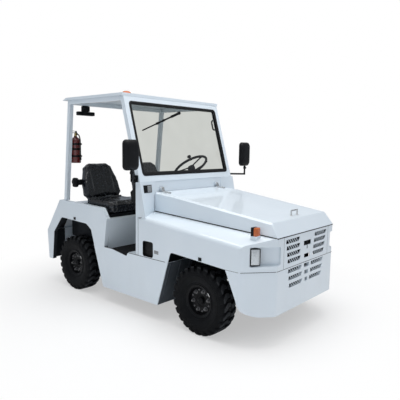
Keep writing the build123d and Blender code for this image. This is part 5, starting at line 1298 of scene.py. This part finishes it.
REEL_X, REEL_Z = at(-0.030), 1.072
reels = Shape()
for side in SIDES:
    reels.slab((0.034, 0.130, 0.055), 0.006, move(REEL_X, side * 0.520, REEL_Z))
    reels.slab((0.060, 0.044, 0.092), 0.014, move(REEL_X, side * 0.590, REEL_Z))
    reels.turned(stud(0.024, 0.006, 0.018, 0.009), 32,
                 stand(REEL_X, side * 0.611, REEL_Z + 0.008, (0, side, 0)))
reels.make("belt_reels", "black_plastic", 40)


# Blank plate on the cowl; dark plates behind the hatch and the bumper as painted shade in those openings

out = Vector((0.985, 0.13, 0.10)).normalized()
across = Vector((-out.y, out.x, 0)).normalized()
plate_place = axes(across, out.cross(across), out, Vector((at(0.9853), -0.555, 1.080)) + out * 0.0010)
plate_border = Shape()
plate_border.slab((0.104, 0.066, 0.006), 0.0008, plate_place)
plate_border.make("cowl_plate", "black_plastic", 30)
plate_face = Shape()
plate_face.slab((0.050, 0.054, 0.0072), 0.0005, plate_place @ move(0.021, 0, 0))
plate_face.make("cowl_plate_face", "white_paint", 30, material=tag_grey)

# Black plates inside the side hatch's opening: painted shade, so the opening reads dark
hatch_shade_plates = Shape()
for side in SIDES:
    hatch_shade_plates.slab((0.150, 0.004, 0.152), 0.001, move(at(1.0855), side * 0.626, HATCH_Z))
    hatch_shade_plates.slab((0.110, 0.006, 0.010), 0.002, move(at(1.0855), side * 0.629, 0.560))
hatch_shade_plates.make("hatch_painted_shade_plate", "rubber", 30)

# A black ribbed plate behind the bumper's slots: painted shade, so the slots read dark
bumper_shade_plate = Shape()
bumper_shade_plate.slab((0.006, 0.70, 0.196), 0.002, move(FACE_X - 0.062, 0, 0.470))
for k in range(9):
    bumper_shade_plate.slab((0.010, 0.68, 0.004), 0.001, move(FACE_X - 0.058, 0, 0.386 + k * 0.021))
bumper_shade_plate.make("bumper_painted_shade_plate", "rubber", 30)


# Studio, light and camera

floor_mesh = bpy.data.meshes.new("studio_floor")
floor_mesh.from_pydata([(-60, -60, 0), (60, -60, 0), (60, 60, 0), (-60, 60, 0)], [], [(0, 1, 2, 3)])
floor = bpy.data.objects.new("studio_floor", floor_mesh)
scene.collection.objects.link(floor)
white_floor = Shader("studio_floor")
white_floor.body.inputs["Base Color"].default_value = (0.93, 0.93, 0.93, 1)
white_floor.body.inputs["Roughness"].default_value = 0.9
glow = white_floor.add("ShaderNodeEmission", {"Strength": 1.0})
from_middle = white_floor.add("ShaderNodeVectorMath", operation="LENGTH")
white_floor.join(white_floor.place, "Object", from_middle, "Vector")
fade = white_floor.spread(from_middle, "Value", 1.0, 2.6, 0.45, 1)
fade.interpolation_type = "SMOOTHSTEP"
only_seen = white_floor.add("ShaderNodeMath", operation="MULTIPLY")
white_floor.join(fade, "Result", only_seen, 0)
white_floor.join(white_floor.add("ShaderNodeLightPath"), "Is Camera Ray", only_seen, 1)
white_floor.mix_out(only_seen, "Value", white_floor.body, glow)
floor_mesh.materials.append(white_floor.material)

scene.world = bpy.data.worlds.new("studio")
sky = Tree(scene.world)
seen = sky.add("ShaderNodeBackground", {"Color": (1, 1, 1, 1), "Strength": 1.0})
lit = sky.add("ShaderNodeBackground", {"Strength": 0.50})
heights = sky.add("ShaderNodeSeparateXYZ")
sky.join(sky.add("ShaderNodeTexCoord"), "Generated", heights, "Vector")
tones = sky.add("ShaderNodeValToRGB")
for tone, position, colour in zip(tones.color_ramp.elements, (0.0, 0.7), ((0.62, 0.72, 0.86), (1, 1, 1))):
    tone.position = position
    tone.color = (*colour, 1)
sky.join(heights, "Z", tones, "Fac")
sky.join(tones, "Color", lit, "Color")
choose = sky.add("ShaderNodeMixShader")
sky.join(sky.add("ShaderNodeLightPath"), "Is Camera Ray", choose, "Fac")
sky.join(lit, 0, choose, 1)
sky.join(seen, 0, choose, 2)
sky.join(choose, 0, sky.add("ShaderNodeOutputWorld"), "Surface")

for name, spot, target, size, power, colour in (
        ("overhead_lamp", (0.6, -0.4, 5.0), (0.2, 0, 0.5), (4.5, 3.6), 170, (1.0, 1.0, 1.0)),
        ("front_lamp", (3.6, 0.6, 4.4), (0.8, 0, 0.8), (2.5, 2.0), 22, (0.93, 0.95, 1.0)),
        ("side_lamp", (2.0, -3.9, 1.5), (-0.2, -0.4, 0.8), (2.6, 1.6), 10, (0.80, 0.90, 1.0))):
    light = bpy.data.lights.new(name, "AREA")
    light.shape = "RECTANGLE"
    light.size, light.size_y = size
    light.energy = power
    light.color = colour
    item = bpy.data.objects.new(name, light)
    item.location = spot
    item.rotation_euler = (Vector(target) - Vector(spot)).to_track_quat("-Z", "Y").to_euler()
    scene.collection.objects.link(item)

camera_data = bpy.data.cameras.new("camera")
camera_data.lens = 40.73
camera_data.sensor_width = 36
camera = bpy.data.objects.new("camera", camera_data)
right = Vector((0.75372, 0.65702, 0.01500)).normalized()
back = right.cross(Vector((-0.08969, 0.08022, 0.99273))).normalized()
camera.matrix_world = axes(right, back.cross(right), back, (3.0107, -3.15325, 1.45303))
scene.collection.objects.link(camera)
scene.camera = camera
scene.view_settings.view_transform = "Standard"
